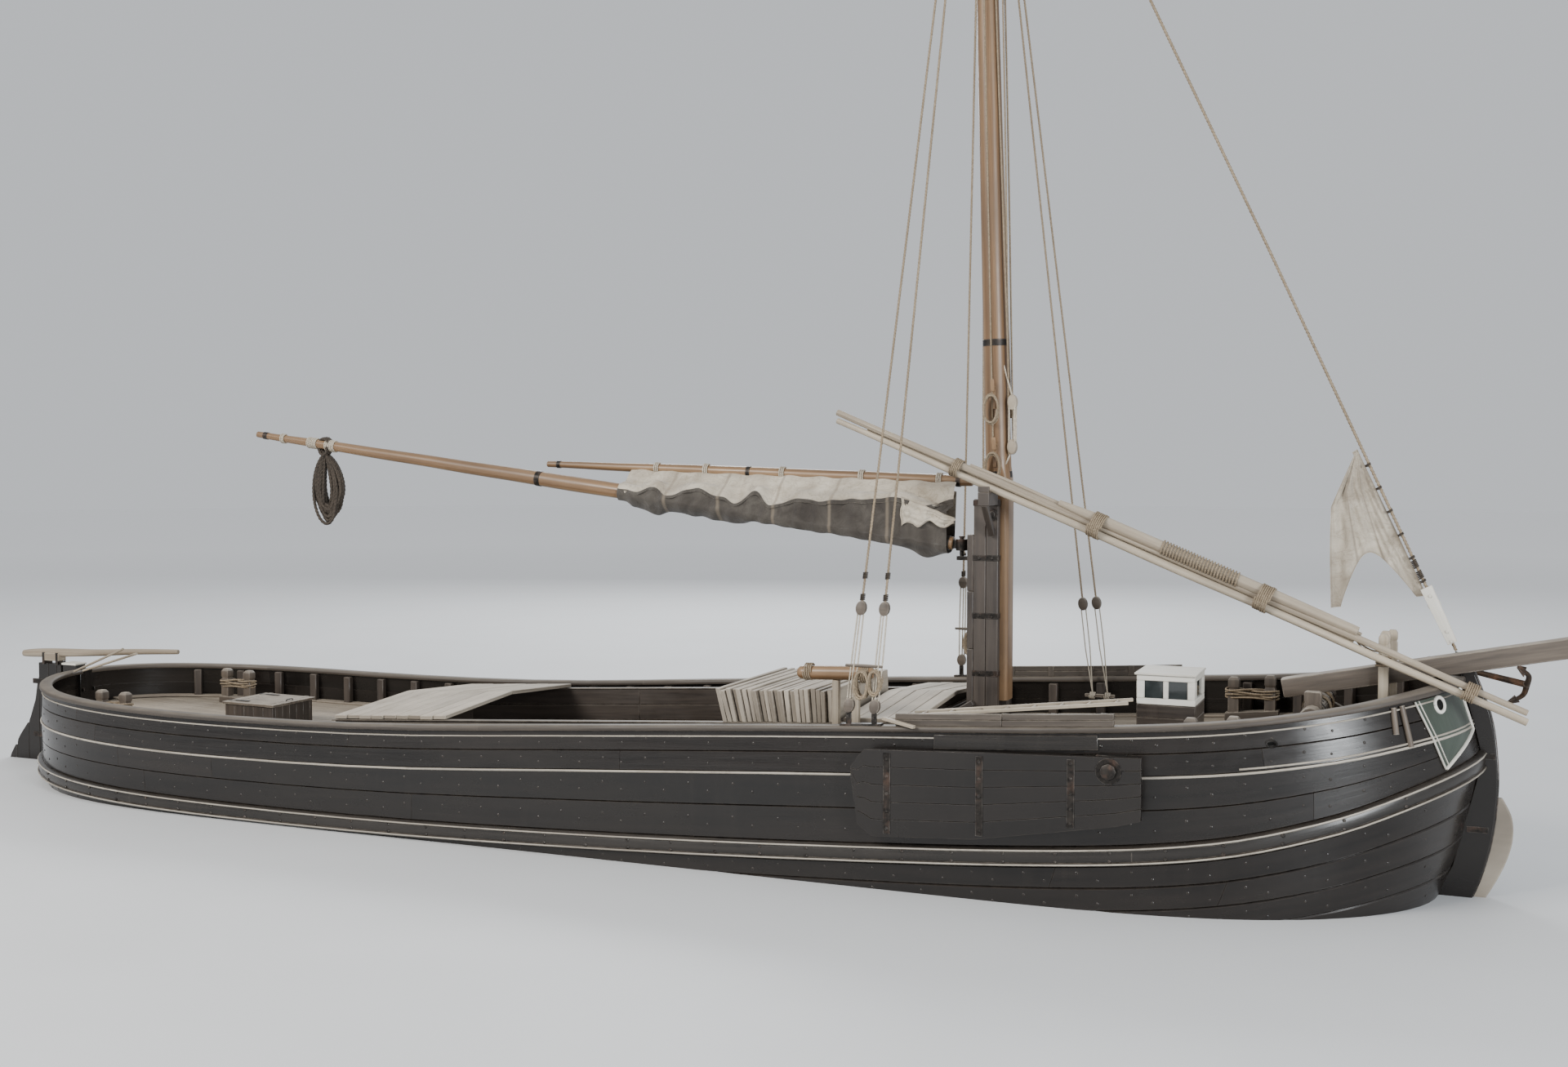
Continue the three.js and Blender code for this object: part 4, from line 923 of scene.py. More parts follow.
print("hull fastenings, frames and decks")
for name, s in sides:
    pegs = []
    for k in range(68):
        x = -8.2 + k * 0.245
        for v in (0.5, 1.25, 1.75, 2.16, 2.5, 2.84, 4.25, 4.75, 5.25, 5.75):
            w = findW(x + (k % 2) * 0.03, v)
            if abs(w) > 0.985:
                continue
            p, n = hullPoint(w, v + 0.06 * (1 if k % 2 else -1)), hullNormal(w, v)
            pegs.append((onSide(p, s), onSide(n, s)))
    studs("hullPegs_" + name, pegs, 0.014, 0.004, "tarredHullSolid", sides=6)
    boltRow = []
    for k in range(34):
        w = findW(-8.1 + k * 0.49, 3.5)
        for v in (3.3, 3.7):
            p, n = hullPoint(w, v), hullNormal(w, 3.5)
            q = p + n * 0.054
            boltRow.append((onSide(q, s), onSide(n, s)))
    studs("waleBolts_" + name, boltRow, 0.017, 0.008, sides=8)

    # frame heads inside the bulwark and the frames seen in the open hold
    heads = []
    for k in range(30):
        x = -7.9 + k * 0.55
        w = findW(x, 5.5)
        if abs(w) > 0.93:
            continue
        p, n = hullPoint(w, 5.5), hullNormal(w, 5.5)
        q = p - n * (hullSettings["plank"] + 0.047)
        heading = atan2(s * n.x, n.y)
        heads.append(((q.x, s * q.y, q.z + 0.005), (0, 0, -heading if s > 0 else heading)))
    boards("frameHeads_" + name, heads, (0.10, 0.085, 0.375), (0, 0, 1), (1, 0.8, 0), "coamingOak",
        bevel=0.010, jitter=0.03, seed=9 + s)

    # ceiling planks down the inside of the hold
    ceiling = Joinery(61 + s)
    edges = [1.05, 1.5, 2.0, 2.5, 3.0, 3.6, 4.2]
    for low, high in zip(edges, edges[1:]):
        for a, b in ((-3.35, -0.6), (-0.59, 1.7), (1.71, 3.55)):
            rings = []
            for i in range(5):
                x = a + (b - a) * i / 4
                w = findW(x, 3)
                lower, upper = hullPoint(w, low + 0.02), hullPoint(w, high - 0.02)
                n = hullNormal(w, (low + high) / 2)
                rings.append([(x, s * (q - n * inset).y, (q - n * inset).z)
                    for q, inset in ((lower, 0.075), (upper, 0.075), (upper, 0.105), (lower, 0.105))])
            ceiling.loft(rings)
    ceiling.piece("holdCeiling_" + name, "deckPine", bevel=0.004)

deckSettings = {"plank": 0.155, "seam": 0.005, "thick": 0.045, "butt": 0.004, "lift": 0.002}


def deckPlanks(name, xLow, xHigh, material, node, holes=(), seed=3, inner=0.0, sidesList=(-1, 1)):
    # fore and aft planks, cut to the line of the hull inside; holes are x and y boxes left open
    work = Joinery(seed)
    step, gapWidth = deckSettings["plank"], deckSettings["seam"]
    count = int((1.92 - inner) / step) + 1
    for s in sidesList:
        for k in range(count):
            y0, y1 = inner + k * step, inner + (k + 1) * step - gapWidth
            samples = [xLow + (xHigh - xLow) * i / 60 for i in range(61)]
            inside = [x for x in samples if deckHalf(x) > y0 + 0.03]
            if len(inside) < 3:
                continue
            spans = [(inside[0], inside[-1])]
            for hx0, hx1, hy0, hy1 in holes:
                if s * (y0 + y1) / 2 > hy0 and s * (y0 + y1) / 2 < hy1:
                    spans = [piece for a, b in spans for piece in ((a, min(b, hx0)), (max(a, hx1), b))
                        if piece[1] - piece[0] > 0.1]
            for a, b in spans:
                pieces = []
                length = 3.4 + (k * 7 % 5) * 0.35
                cursor = a
                first = length * (0.4 + (k * 3 % 4) * 0.2)
                while b - cursor > length * 1.3:
                    end = cursor + (first if cursor == a else length)
                    pieces.append((cursor, end - deckSettings["butt"]))
                    cursor = end
                pieces.append((cursor, b))
                for c, d in pieces:
                    steps = max(2, int((d - c) / 0.28))
                    rings = []
                    for i in range(steps + 1):
                        x = c + (d - c) * i / steps
                        limit = max(deckHalf(x), y0 + 0.012)
                        outer, z = min(y1, limit), deckZ(x) + deckSettings["lift"]
                        rings.append(slab(x, s * y0, s * outer, z - deckSettings["thick"], z))
                    work.loft(rings)
    return work.piece(name, material, slotName="deck", bevel=0.003, node=node)


companionHole = (-5.85, -5.20, -0.33, 0.33)
deckPlanks("foredeckPlanks", 3.62, 8.36, "deckPine", "foredeck", seed=21)
deckPlanks("afterdeckPlanks", -8.52, -3.41, "deckPine", "afterdeck", holes=[companionHole], seed=22)
for name, s in sides:
    deckPlanks("sideDeckPlanks_" + name, -3.40, 3.61, "deckPine", "side_deck_" + name, seed=23 + s,
        inner=1.392, sidesList=(s,))
for tag, xLow, xHigh, y0, y1 in (("fore", 3.62, 8.3, 0, 1.9), ("aft", -8.4, -3.45, 0, 1.9)):
    rows = []
    x = xLow + 0.12
    while x < xHigh:
        y = 0.04
        while y < deckHalf(x) - 0.05:
            for s in (-1, 1):
                if not (tag == "aft" and -5.95 < x < -5.1 and abs(y) < 0.42):
                    rows.append(((x, s * y, deckZ(x) + deckSettings["lift"]), (0, 0, 1)))
            y += deckSettings["plank"] / 2
        x += 0.52
    studs("deckNails_" + tag, rows, 0.006, 0.002, sides=6)

# margin plank along the deck edge
for name, s in sides:
    margin = Joinery(71 + s)
    stations = [w for w in run if abs(w) < 0.975]
    for a, b in ((0, 16), (16, 30), (30, 45), (45, len(stations) - 1)):
        rings = []
        for w in stations[a:b + 1]:
            p, n = hullPoint(w, 5), hullNormal(w, 5.5)
            n = Vector((n.x, n.y, 0)).normalized()
            inner, outer = p - n * 0.20, p - n * 0.068
            z = deckZ(p.x) + 0.003
            rings.append([(outer.x, s * max(outer.y, 0.02), z), (outer.x, s * max(outer.y, 0.02), z + 0.028),
                (inner.x, s * max(inner.y, 0.02), z + 0.022), (inner.x, s * max(inner.y, 0.02), z)])
        margin.loft(rings)
    margin.piece("deckMargin_" + name, "deckPine", bevel=0.005)


print("stem, stern and steering gear")


def levelEnds(w, away):
    return [(levelPoint(k, w).x + away, levelPoint(k, w).z) for k in range(7)]


stemFront = [(8.64, 3.09), (8.79, 2.68), (8.85, 2.30), (8.86, 1.90), (8.80, 1.40), (8.64, 0.90),
    (8.33, 0.42), (7.90, 0.11), (7.42, 0.0)]
stemLine = [(p.x, p.z) for p in curvePath([(x, 0, z) for x, z in stemFront], 40)]
stemBack = levelEnds(1, 0.001)
stemBack[0] = (stemBack[0][0], 0.0)
stem = Joinery(81)
stem.plate(stemBack + [(8.534, 3.12)] + stemLine, 1, -0.088, 0.088)
stem.box((8.47, -0.10, 3.06), (8.66, 0.10, 3.115), 1)
stem.box((8.42, -0.12, 2.60), (8.545, 0.12, 3.02), 2)
stem.piece("stemTimber", "tarredHull", bevel=0.012, steps=2, node="stem")
band = Joinery(82)
front = [p for p in stemLine if p[1] > 0.05]
band.loft([[(x + 0.002, -0.045, z), (x + 0.002, 0.045, z), (x + 0.012, 0.040, z), (x + 0.012, -0.040, z)]
    for x, z in front])
band.plate([(8.53, 3.08), (8.64, 3.06), (8.56, 3.235), (8.47, 3.2645)], 1, -0.018, 0.018)
for z in (2.95, 2.3, 1.6):
    x = min(stemFront, key=lambda p: abs(p[1] - z))[0]
    for s in (-1, 1):
        band.box((x - 0.20, s * 0.089 - 0.004, z - 0.03), (x - 0.01, s * 0.089 + 0.004, z + 0.03), 0)
band.piece("stemBand", "tarredIron", bevel=0.002)

finFront = [(8.905, 1.90), (8.985, 1.74), (9.005, 1.60), (8.985, 1.42), (8.90, 1.18), (8.74, 0.88),
    (8.48, 0.47)]
finLine = [(p.x, p.z) for p in curvePath([(x, 0, z) for x, z in finFront], 24)]
finBack = [(x + 0.0006, z) for x, z in stemLine if 0.45 < z < 1.93]
fin = Joinery(83)
fin.plate(finLine + finBack[::-1], 1, -0.034, 0.034)
fin.piece("stemFin", "hatchPine", slotName="rail", bevel=0.010, steps=2, node="stem_fin")

sternTop = 2.285
sternAft = [(-8.93, sternTop), (-8.93, 0.06), (-8.70, 0.0)]
sternEnds = levelEnds(-1, -0.001)
sternEnds[0] = (sternEnds[0][0], 0.0)
post = Joinery(84)
post.plate(sternEnds + [(-8.70, sternTop)] + sternAft, 1, -0.088, 0.088)
post.box((-8.71, -0.12, 1.76), (-8.585, 0.12, 2.235), 2)
post.piece("sternpostTimber", "tarredHull", bevel=0.010, steps=2, node="sternpost")
postCap = Joinery(85)
postCap.box((-8.945, -0.10, sternTop), (-8.69, 0.10, sternTop + 0.028), 1)
for s in (-1, 1):  # pale chocks that close the ends of the wale
    for low, high, x0, x1 in ((1.30, 1.38, -8.95, -8.60), (1.06, 1.14, -8.95, -8.55)):
        postCap.loft([slab(x, s * (0.088 + y0), s * (0.10 + y1), low - dz, high - dz)
            for x, y0, y1, dz in ((x0, 0, 0, 0.0), ((x0 + x1) / 2, 0, 0.015, 0.02),
            (x1, 0.06, 0.115, 0.03))])
postCap.piece("sternChocks", "cabinPaint", bevel=0.006)

rudderSettings = {"x": -8.99, "heights": (0.48, 1.25, 1.98), "pin": 0.018, "eye": 0.045, "head": 2.325,
    "front": -9.014}
irons = Joinery(86)
rudderIrons = Joinery(87)
for z in rudderSettings["heights"]:
    x, eye = rudderSettings["x"], rudderSettings["eye"]
    irons.box((x - eye * 0.4, -eye, z - 0.04), (-8.90, eye, z))
    irons.round([(x, 0, z - 0.04), (x, 0, z)], eye, 16)
    irons.round([(x, 0, z - 0.02), (x, 0, z + 0.12), (x, 0, z + 0.13)],
        [rudderSettings["pin"]] * 2 + [0.012], 12)
    for s in (-1, 1):
        irons.box((-8.95, s * 0.0905 - 0.004, z - 0.045), (-8.55, s * 0.0905 + 0.004, z + 0.012))
        rudderIrons.box((-9.52, s * 0.049 - 0.004, z + 0.02), (x, s * 0.049 + 0.004, z + 0.09))
    rudderIrons.round([(x, 0, z + 0.0008), (x, 0, z + 0.11)], eye, 16)
irons.piece("sternIrons", "tarredIron", bevel=0.003)
rudderIrons.piece("rudderIrons", "tarredIron", "rudder", bevel=0.003)

rudderBack = [(-10.02, 0.09), (-10.10, 0.25), (-10.12, 0.42), (-10.08, 0.65), (-9.96, 1.0), (-9.78, 1.28),
    (-9.60, 1.5), (-9.49, 1.78), (-9.43, 2.1), (-9.42, rudderSettings["head"])]


def backX(z):
    for (xa, za), (xb, zb) in zip(rudderBack, rudderBack[1:]):
        if za <= z <= zb:
            return xa + (xb - xa) * (z - za) / (zb - za)
    return rudderBack[-1][0]


blade = Joinery(88)
for low, high in ((0.09, 0.43), (0.4803, 1.20), (1.2503, 1.93), (1.9803, 2.325)):
    blade.box((-9.087, -0.045, low), (-9.014, 0.045, high), 2)
cuts = [-9.09, -9.235, -9.42, -9.62, -9.84, -10.12]
for right, left in zip(cuts, cuts[1:]):
    column = [(x, z) for z in [0.09 + 0.04 * i for i in range(57)]
        for x in [max(backX(min(z, 2.325)), left + 0.003)] if x < right
        - 0.02 and z <= rudderSettings["head"]]
    if len(column) < 2:
        continue
    blade.plate([(right, column[0][1])] + column + [(right, column[-1][1])], 1, -0.045, 0.045)
blade.piece("rudderBlade", "tarredHull", "rudder", bevel=0.006, node="rudder")
helm = Joinery(89)
helmLine = curvePath([(-9.72, 0, 2.40), (-9.3, 0, 2.425), (-8.4, 0, 2.465), (-7.7, 0, 2.51),
    (-7.0, 0, 2.54)], 24)
helm.round(helmLine, [0.044 + 0.016 * sin(pi * min(i / 12, 1)) if i < 12 else 0.046 - (i - 12) * 0.0012
    for i in range(25)], 14)
helm.box((-9.33, -0.068, rudderSettings["head"] + 0.0005), (-9.03, 0.068, rudderSettings["head"] + 0.105))
helm.piece("tillerPole", "paleSpar", "rudder", bevel=0.006, node="tiller")
helmBand = Joinery(90)
for x in (-9.30, -9.06):
    helmBand.box((x - 0.02, -0.073, rudderSettings["head"] - 0.05),
        (x + 0.02, 0.073, rudderSettings["head"] + 0.112), 1)
helmBand.piece("tillerBands", "tarredIron", "rudder", bevel=0.003)

print("leeboards")
leeOutline = [(5.93, 2.43), (5.93, 1.86), (5.70, 1.79), (4.40, 1.56), (3.40, 1.50), (3.21, 1.64),
    (3.18, 2.15), (3.30, 2.33), (4.60, 2.38)]


def leeSpan(x):
    zs = []
    n = len(leeOutline)
    for i in range(n):
        (xa, za), (xb, zb) = leeOutline[i], leeOutline[(i + 1) % n]
        if min(xa, xb) <= x <= max(xa, xb) and xa != xb:
            zs.append(za + (zb - za) * (x - xa) / (xb - xa))
    return min(zs), max(zs)


leeX, leeZ = 5.64, 2.29
for name, s in sides:
    board = Joinery(91 + s)
    yMid = s * 2.11
    for k in range(5):
        stationsX = [3.185 + (5.928 - 3.185) * i / 40 for i in range(41)]
        rings = []
        for x in stationsX:
            low, high = leeSpan(x)
            z0, z1 = low + (high - low) * k / 5 + 0.002, low + (high - low) * (k + 1) / 5 - 0.002
            rings.append(slab(x, yMid - 0.030, yMid + 0.030, z0, z1))
        board.loft(rings)
    board.piece("leeboardPlanks_" + name, "tarredHull", "leeboard_" + name, bevel=0.008, steps=2,
        node="leeboard_" + name)
    straps = Joinery(93 + s)
    bolts = []
    for x in (3.55, 4.45, 5.30):
        low, high = leeSpan(x)
        y0, y1 = sorted((yMid + s * 0.030, yMid + s * 0.038))
        straps.box((x - 0.035, y0, low + 0.03), (x + 0.035, y1, high - 0.03), 2)
        bolts += [((x, yMid + s * 0.038, low + (high - low) * (j + 0.5) / 5), (0, s, 0)) for j in range(5)]
    straps.round([(leeX, yMid + s * 0.028, leeZ), (leeX, yMid + s * 0.037, leeZ)], 0.12, 24)
    straps.piece("leeboardStraps_" + name, "tarredIron", "leeboard_" + name, bevel=0.002)
    studs("leeboardBolts_" + name, bolts, 0.016, 0.010, body="leeboard_" + name)
    bolt = Joinery(95 + s)
    hullY = hullPoint(findW(leeX, 5), 5).y + 0.0106
    y0, y1 = sorted((s * hullY, yMid - s * 0.036))
    bolt.box((5.51, y0, 2.16), (5.77, y1, 2.42), 1)
    bolt.round([(leeX, yMid - s * 0.06, leeZ), (leeX, yMid + s * 0.060, leeZ)], 0.0375, 20)
    bolt.round([(leeX, yMid + s * 0.0385, leeZ), (leeX, yMid + s * 0.062, leeZ),
        (leeX, yMid + s * 0.074, leeZ)], [0.078, 0.076, 0.05], 8)
    bolt.piece("leeboardPin_" + name, "tarredIron", bevel=0.005, node="leeboard_bolt_" + name)

print("hold and hatch boards")
holdAft, holdFore = -3.4, 3.6


def coamingTop(x):
    t = (x - holdAft) / 7.0
    return (1 - t) * (deckZ(holdAft) + 0.4) + t * (deckZ(holdFore) + 0.4)


coaming = Joinery(101)
for s in (-1, 1):
    for low, high in ((-0.66, -0.40), (-0.395, -0.21), (-0.205, -0.012)):
        for a, b in ((holdAft, -0.9), (-0.896, 1.4), (1.404, holdFore)):
            y0, y1 = sorted((s * 1.33, s * 1.39))
            coaming.loft([slab(x, y0, y1, coamingTop(x) + low, coamingTop(x) + high) for x in (a, b)])
for x0 in (holdAft, 3.54):
    for low, high in ((-0.66, -0.40), (-0.395, -0.21), (-0.205, -0.012)):
        z = coamingTop(x0)
        coaming.box((x0, -1.33, z + low), (x0 + 0.06, 1.33, z + high), 1)
coaming.piece("coamingPlanks", "coamingOak", bevel=0.005, node="hold_coaming")
capRail = Joinery(102)
for s in (-1, 1):
    for a, b in ((-3.44, -0.2), (-0.196, 3.64)):
        y0, y1 = sorted((s * 1.315, s * 1.412))
        capRail.loft([slab(x, y0, y1, coamingTop(x) - 0.013, coamingTop(x) + 0.0) for x in (a, b)])
        y2, y3 = sorted((s * 1.391, s * 1.425))
        capRail.loft([slab(x, y2, y3, coamingTop(x) - 0.075, coamingTop(x) - 0.03) for x in (a, b)])
capRail.piece("coamingCap", "railOak", slotName="coaming", bevel=0.004)
cleats = []
for k in range(11):
    x = -3.15 + k * 0.65
    for s in (-1, 1):
        cleats.append(((x, s * 1.415, coamingTop(x) - 0.235), (0, 0, 0)))
boards("coamingCleats", cleats, (0.065, 0.045, 0.30), (0, 0, 1), (1, 1, 0), "coamingOak", bevel=0.008,
    jitter=0.03)

hatchSettings = {"rise": 0.095, "thick": 0.045, "edge": 1.385, "wide": 0.163}


def hatchRow(name, x0, x1, node, seed):
    # boards athwart the hold, low in the middle of each side and high along the centreline
    work = Joinery(seed)
    count = round((x1 - x0) / hatchSettings["wide"])
    for k in range(count):
        a = x0 + (x1 - x0) * k / count + 0.002
        b = x0 + (x1 - x0) * (k + 1) / count - 0.002
        lift = work.dice.uniform(0.0, 0.006)
        for s in (-1, 1):
            ring = []
            shift = work.dice.uniform(-0.006, 0.02)
            for x in (a, b):
                z = coamingTop(x) + 0.0005 + lift
                ring.append((x, s * (hatchSettings["edge"] + shift), z, z + hatchSettings["thick"]))
            top = hatchSettings["rise"]
            (xa, ya, za, zb), (xc, yc, zc, zd) = ring
            work.loft([[(xa, ya, za), (xc, yc, zc), (xc, yc, zd), (xa, ya, zb)],
                [(xa, s * 0.002, za + top), (xc, s * 0.002, zc + top), (xc, s * 0.002, zd + top),
                (xa, s * 0.002, zb + top)]])
    return work.piece(name, "hatchPine", bevel=0.006, node=node)


hatchRow("hatchBoardsFore", 2.83, holdFore, "hatch_boards_fore", 103)
hatchRow("hatchBoardsAft", holdAft, -1.9, "hatch_boards_aft", 104)
stack = Joinery(105)
for k in range(22):
    x = 1.50 + k * (1.22 / 22)
    lean = -0.08 * (1 - k / 22) - 0.012 + stack.dice.uniform(-0.006, 0.006)
    y0 = -1.385 + stack.dice.uniform(-0.02, 0.05) - (0.02 if k > 15 else 0)
    y1 = 0.44 + stack.dice.uniform(-0.10, 0.04)
    top = 0.345 + stack.dice.uniform(-0.03, 0.0)
    z = coamingTop(x) + 0.001
    stack.loft([[(x, y, z), (x + 0.046, y, z), (x + 0.046 + lean, y, z + top), (x + lean, y, z + top)]
        for y in (y0, y1)])
stack.piece("hatchBoardStack", "hatchPine", bevel=0.005, node="hatch_board_stack")

floorWork = Joinery(106)
for k in range(20):
    y0 = -1.58 + k * 0.158
    cut = holdAft + 1.2 + (k * 5 % 7) * 0.6
    for a, b in ((-3.415, cut), (cut + 0.004, holdFore)):
        floorWork.box((a, y0, 0.305), (b, y0 + 0.153, 0.3415), 0)
floorWork.piece("holdFloorPlanks", "deckPine", bevel=0.004, node="hold_floor")
for node, x0, x1, label in (("fore_bulkhead", 3.62, 3.67, "bulkheadFore"),
        ("aft_bulkhead", -3.47, -3.42, "bulkheadAft")):
    wall = Joinery(107)
    y = -1.86
    while y < 1.85:
        a, b = y + 0.002, min(y + 0.17, 1.86) - 0.002
        w = findW(x0, 3)
        lows = []
        for edge in (a, b):
            inner = [(hullPoint(w, v).y - 0.10, hullPoint(w, v).z) for v in (0, 0.5, 1, 1.5, 2, 2.5, 3)]
            z = 0.062
            for (ya, za), (yb, zb) in zip(inner, inner[1:]):
                if ya <= abs(edge) <= yb:
                    z = za + (zb - za) * (abs(edge) - ya) / (yb - ya)
            lows.append(max(z, 0.062) + 0.01)
        top = deckZ(x0) - 0.062
        wall.loft([[(x, a, lows[0]), (x, b, lows[1]), (x, b, top), (x, a, top)] for x in (x0, x1)])
        y += 0.17
    wall.piece(label, "deckPine", bevel=0.004, node=node)


print("tabernacle, mast and spars")
mastX, mastFoot, boltZ, rake = 4.04, 4.8, 4.5, 0.03


def washer(work, centre, inner, outer, low, high, sides=20):
    # flat ring about an upright pin
    x, y, _ = centre
    rings = []
    for a in around(sides, 0, 1):
        c, d = cos(a), sin(a)
        rings.append([(x + c * inner, y + d * inner, low), (x + c * outer, y + d * outer, low),
            (x + c * outer, y + d * outer, high), (x + c * inner, y + d * inner, high)])
    return work.loft(rings, caps=False)


def hoops(name, line, places, body, material="tarredIron", wide=0.035, proud=0.006, sides=20):
    # bands round a spar: line gives centre and radius at a share of its length
    work = Joinery(7)
    for t in places:
        (p, r), (q, _) = line(t), line(min(t + 0.01, 1) if t < 0.99 else t - 0.01)
        along = (q - p).normalized() * wide
        work.round([p - along, p - along * 0.9, p + along * 0.9, p + along], [r, r + proud, r + proud, r],
            sides)
    return work.piece(name, material, body)


def sparLine(start, end, radii):
    start, end = Vector(start), Vector(end)

    def at(t):
        for (a, ra), (b, rb) in zip(radii, radii[1:]):
            if a <= t <= b:
                return start.lerp(end, t), ra + (rb - ra) * (t - a) / (b - a)
        return end.copy(), radii[-1][1]
    return at


def sparPiece(name, line, steps, material, body, node, sides=20, wander=0.0):
    work = Joinery(len(name))
    samples = [line(i / steps) for i in range(steps + 1)]
    path = [p + Vector((0, sin(i * 1.3) * wander, cos(i * 0.9) * wander))
        for i, (p, _) in enumerate(samples)]
    work.round(path, [r for _, r in samples], sides)
    return work.piece(name, material, body, bevel=0.006, node=node)


trunk = Joinery(111)
trunkIron = Joinery(112)
trunkBolts = []
for s in (-1, 1):
    for x0, x1 in ((3.84, 3.968), (3.972, 4.10)):
        y0, y1 = sorted((s * 0.158, s * 0.25))
        trunk.loft([[(x0, y0, z), (x1, y0, z), (x1, y1, z), (x0, y1, z)] for z in (deckZ(4.0) + 0.012, 4.66)])
    for z in (2.85, 3.45, 4.05, 4.62):
        y0, y1 = sorted((s * 0.160, s * 0.257))
        trunkIron.box((3.834, y0, z - 0.03), (4.106, y1, z + 0.03))
        trunkBolts += [((x, s * 0.257, z), (0, s, 0)) for x in (3.90, mastX)]
    y0, y1 = sorted((s * 0.2505, s * 0.275))
    trunkIron.round([(mastX, y0, boltZ), (mastX, y1, boltZ)], 0.062, 8)
    trunkIron.round([(mastX, s * 0.275, boltZ), (mastX, s * 0.283, boltZ)], [0.035, 0.030], 16)
    trunkIron.round([(mastX, s * 0.142, boltZ), (mastX, s * 0.158, boltZ)], 0.035, 16)
for low, high in ((deckZ(3.8) + 0.012, 3.1), (3.103, 3.7), (3.703, 4.29)):
    trunk.box((3.77, -0.25, low), (3.838, 0.25, high), 2)
trunk.box((3.98, -0.60, 4.60), (4.10, -0.252, 4.738), 1)
trunk.box((3.98, -0.60, 4.739), (4.10, -0.57, 4.798), 2)
for a, b in (((mastX, -0.56, 4.62), (mastX, -0.27, 4.30)), ((3.86, -0.30, 2.55), (3.50, -0.30, 2.33)),
        ((3.86, 0.30, 2.55), (3.50, 0.30, 2.33))):
    trunk.beam(a, b, 0.06, 0.07, side=(1, 0, 0))
trunk.piece("tabernacleTimbers", "coamingOak", bevel=0.008, steps=2, node="tabernacle")
trunkIron.box((3.595, -0.045, 4.008), (3.78, 0.045, 4.052))
trunkIron.box((3.755, -0.07, 3.92), (3.77, 0.07, 4.14))
trunkIron.round([(3.64, 0, 4.01), (3.64, 0, 4.26)], 0.022, 16)
trunkIron.round([(3.64, 0, 4.245), (3.64, 0, 4.262)], 0.032, 8)
trunkIron.piece("tabernacleIron", "tarredIron", bevel=0.004)
studs("tabernacleBolts", trunkBolts, 0.018, 0.012)

mastRadii = [(0, 0.135), (0.45, 0.119), (0.9, 0.088), (0.905, 0.060), (1, 0.045)]
mastLine = sparLine((mastX, 0, mastFoot), (3.76, 0, 14.05), mastRadii)
mastWork = Joinery(113)
rings = []
for z, corner, half in ((2.56, 3, 0.135), (4.72, 3, 0.135), (4.80, 2.6, 0.133), (4.90, 2.2, 0.134),
        (5.0, 2, 0.134)):
    ring = []
    for a in around(24, 0.5):
        c, d = cos(a), sin(a)
        reach = half / (abs(c) ** (corner * 2) + abs(d) ** (corner * 2)) ** (1 / (corner * 2))
        reach = reach if corner > 2 else half
        ring.append((mastX - (z - mastFoot) * rake * (z > mastFoot) + c * reach, d * reach, z))
    rings.append(ring)
for i in range(2, 61):
    p, r = mastLine(i / 60)
    rings.append([(p.x + cos(a) * r, sin(a) * r, p.z) for a in around(24, 0.5)])
mastWork.loft(rings)
mastWork.round([(3.80, 0, 13.02), (3.797, 0, 13.10), (3.795, 0, 13.15)], [0.098, 0.110, 0.115], 20)
mastWork.round([(3.7605, 0, 14.02), (3.76, 0, 14.05), (3.76, 0, 14.07)], [0.05, 0.062, 0.03], 16)
for z, s in ((5.15, -1), (5.75, -1)):
    x = mastX - (z - mastFoot) * rake
    mastWork.loft([[(x - 0.02, s * (0.12 + out), z + up), (x + 0.02, s * (0.12 + out), z + up),
        (x + 0.02, s * (0.12 + out), z + up + 0.03), (x - 0.02, s * (0.12 + out), z + up + 0.03)]
        for out, up in ((0, 0.05), (0.05, 0.02), (0.07, 0.12))])
    mastWork.box((x - 0.02, s * 0.125 - 0.02, z - 0.16), (x + 0.02, s * 0.15 + 0.02, z + 0.08), 2)
mastWork.piece("mastSpar", "oiledSpar", "mast", bevel=0.006, node="mast")
hoops("mastBands", mastLine, (0.012, 0.16, 0.885, 0.905, 0.985), "mast")
truckIron = Joinery(114)
for s in (-1, 1):
    truckIron.round([(3.79, s * 0.085, 13.2), (3.79, s * 0.15, 13.24), (3.79, s * 0.15, 13.17)], 0.012, 8)
for z in (9.8, 12.5, 13.55):
    p, r = mastLine((z - mastFoot) / 9.25)
    out = r + (0.10 if z > 13 else 0.05)
    truckIron.round([(p.x + r * 0.8, 0, z), (p.x + out, 0, z + 0.03), (p.x + out, 0, z - 0.05)], 0.010, 8)
truckIron.piece("mastheadIron", "tarredIron", "mast")

halyards = []
for start, end, out in (((3.935, 0.05, 13.45), (4.16, 0.10, 5.2), 0.02),
        ((3.935, -0.05, 13.45), (4.16, -0.07, 5.12), 0.03), ((3.88, -0.06, 12.45), (4.16, -0.09, 5.9), 0.0),
        ((3.78, -0.085, 13.3), (4.01, -0.146, 5.3), 0.0), ((3.87, 0.09, 12.4), (4.13, 0.125, 5.5), 0.0)):
    halyards.append([Vector(start).lerp(Vector(end), i / 24) + Vector((out * sin(pi * i / 24), 0, 0))
        for i in range(25)])
for z, s in ((5.15, -1), (5.75, -1)):
    halyards.append(coilPath((4.03 - (z - mastFoot) * rake, s * 0.20, z - 0.16), (0, 1, 0), 0.075, 6, 0.011,
        0.01, 0.12, int(z * 9), 1.9))
ropes("halyards", halyards, 0.011, "hempRope", "mast")


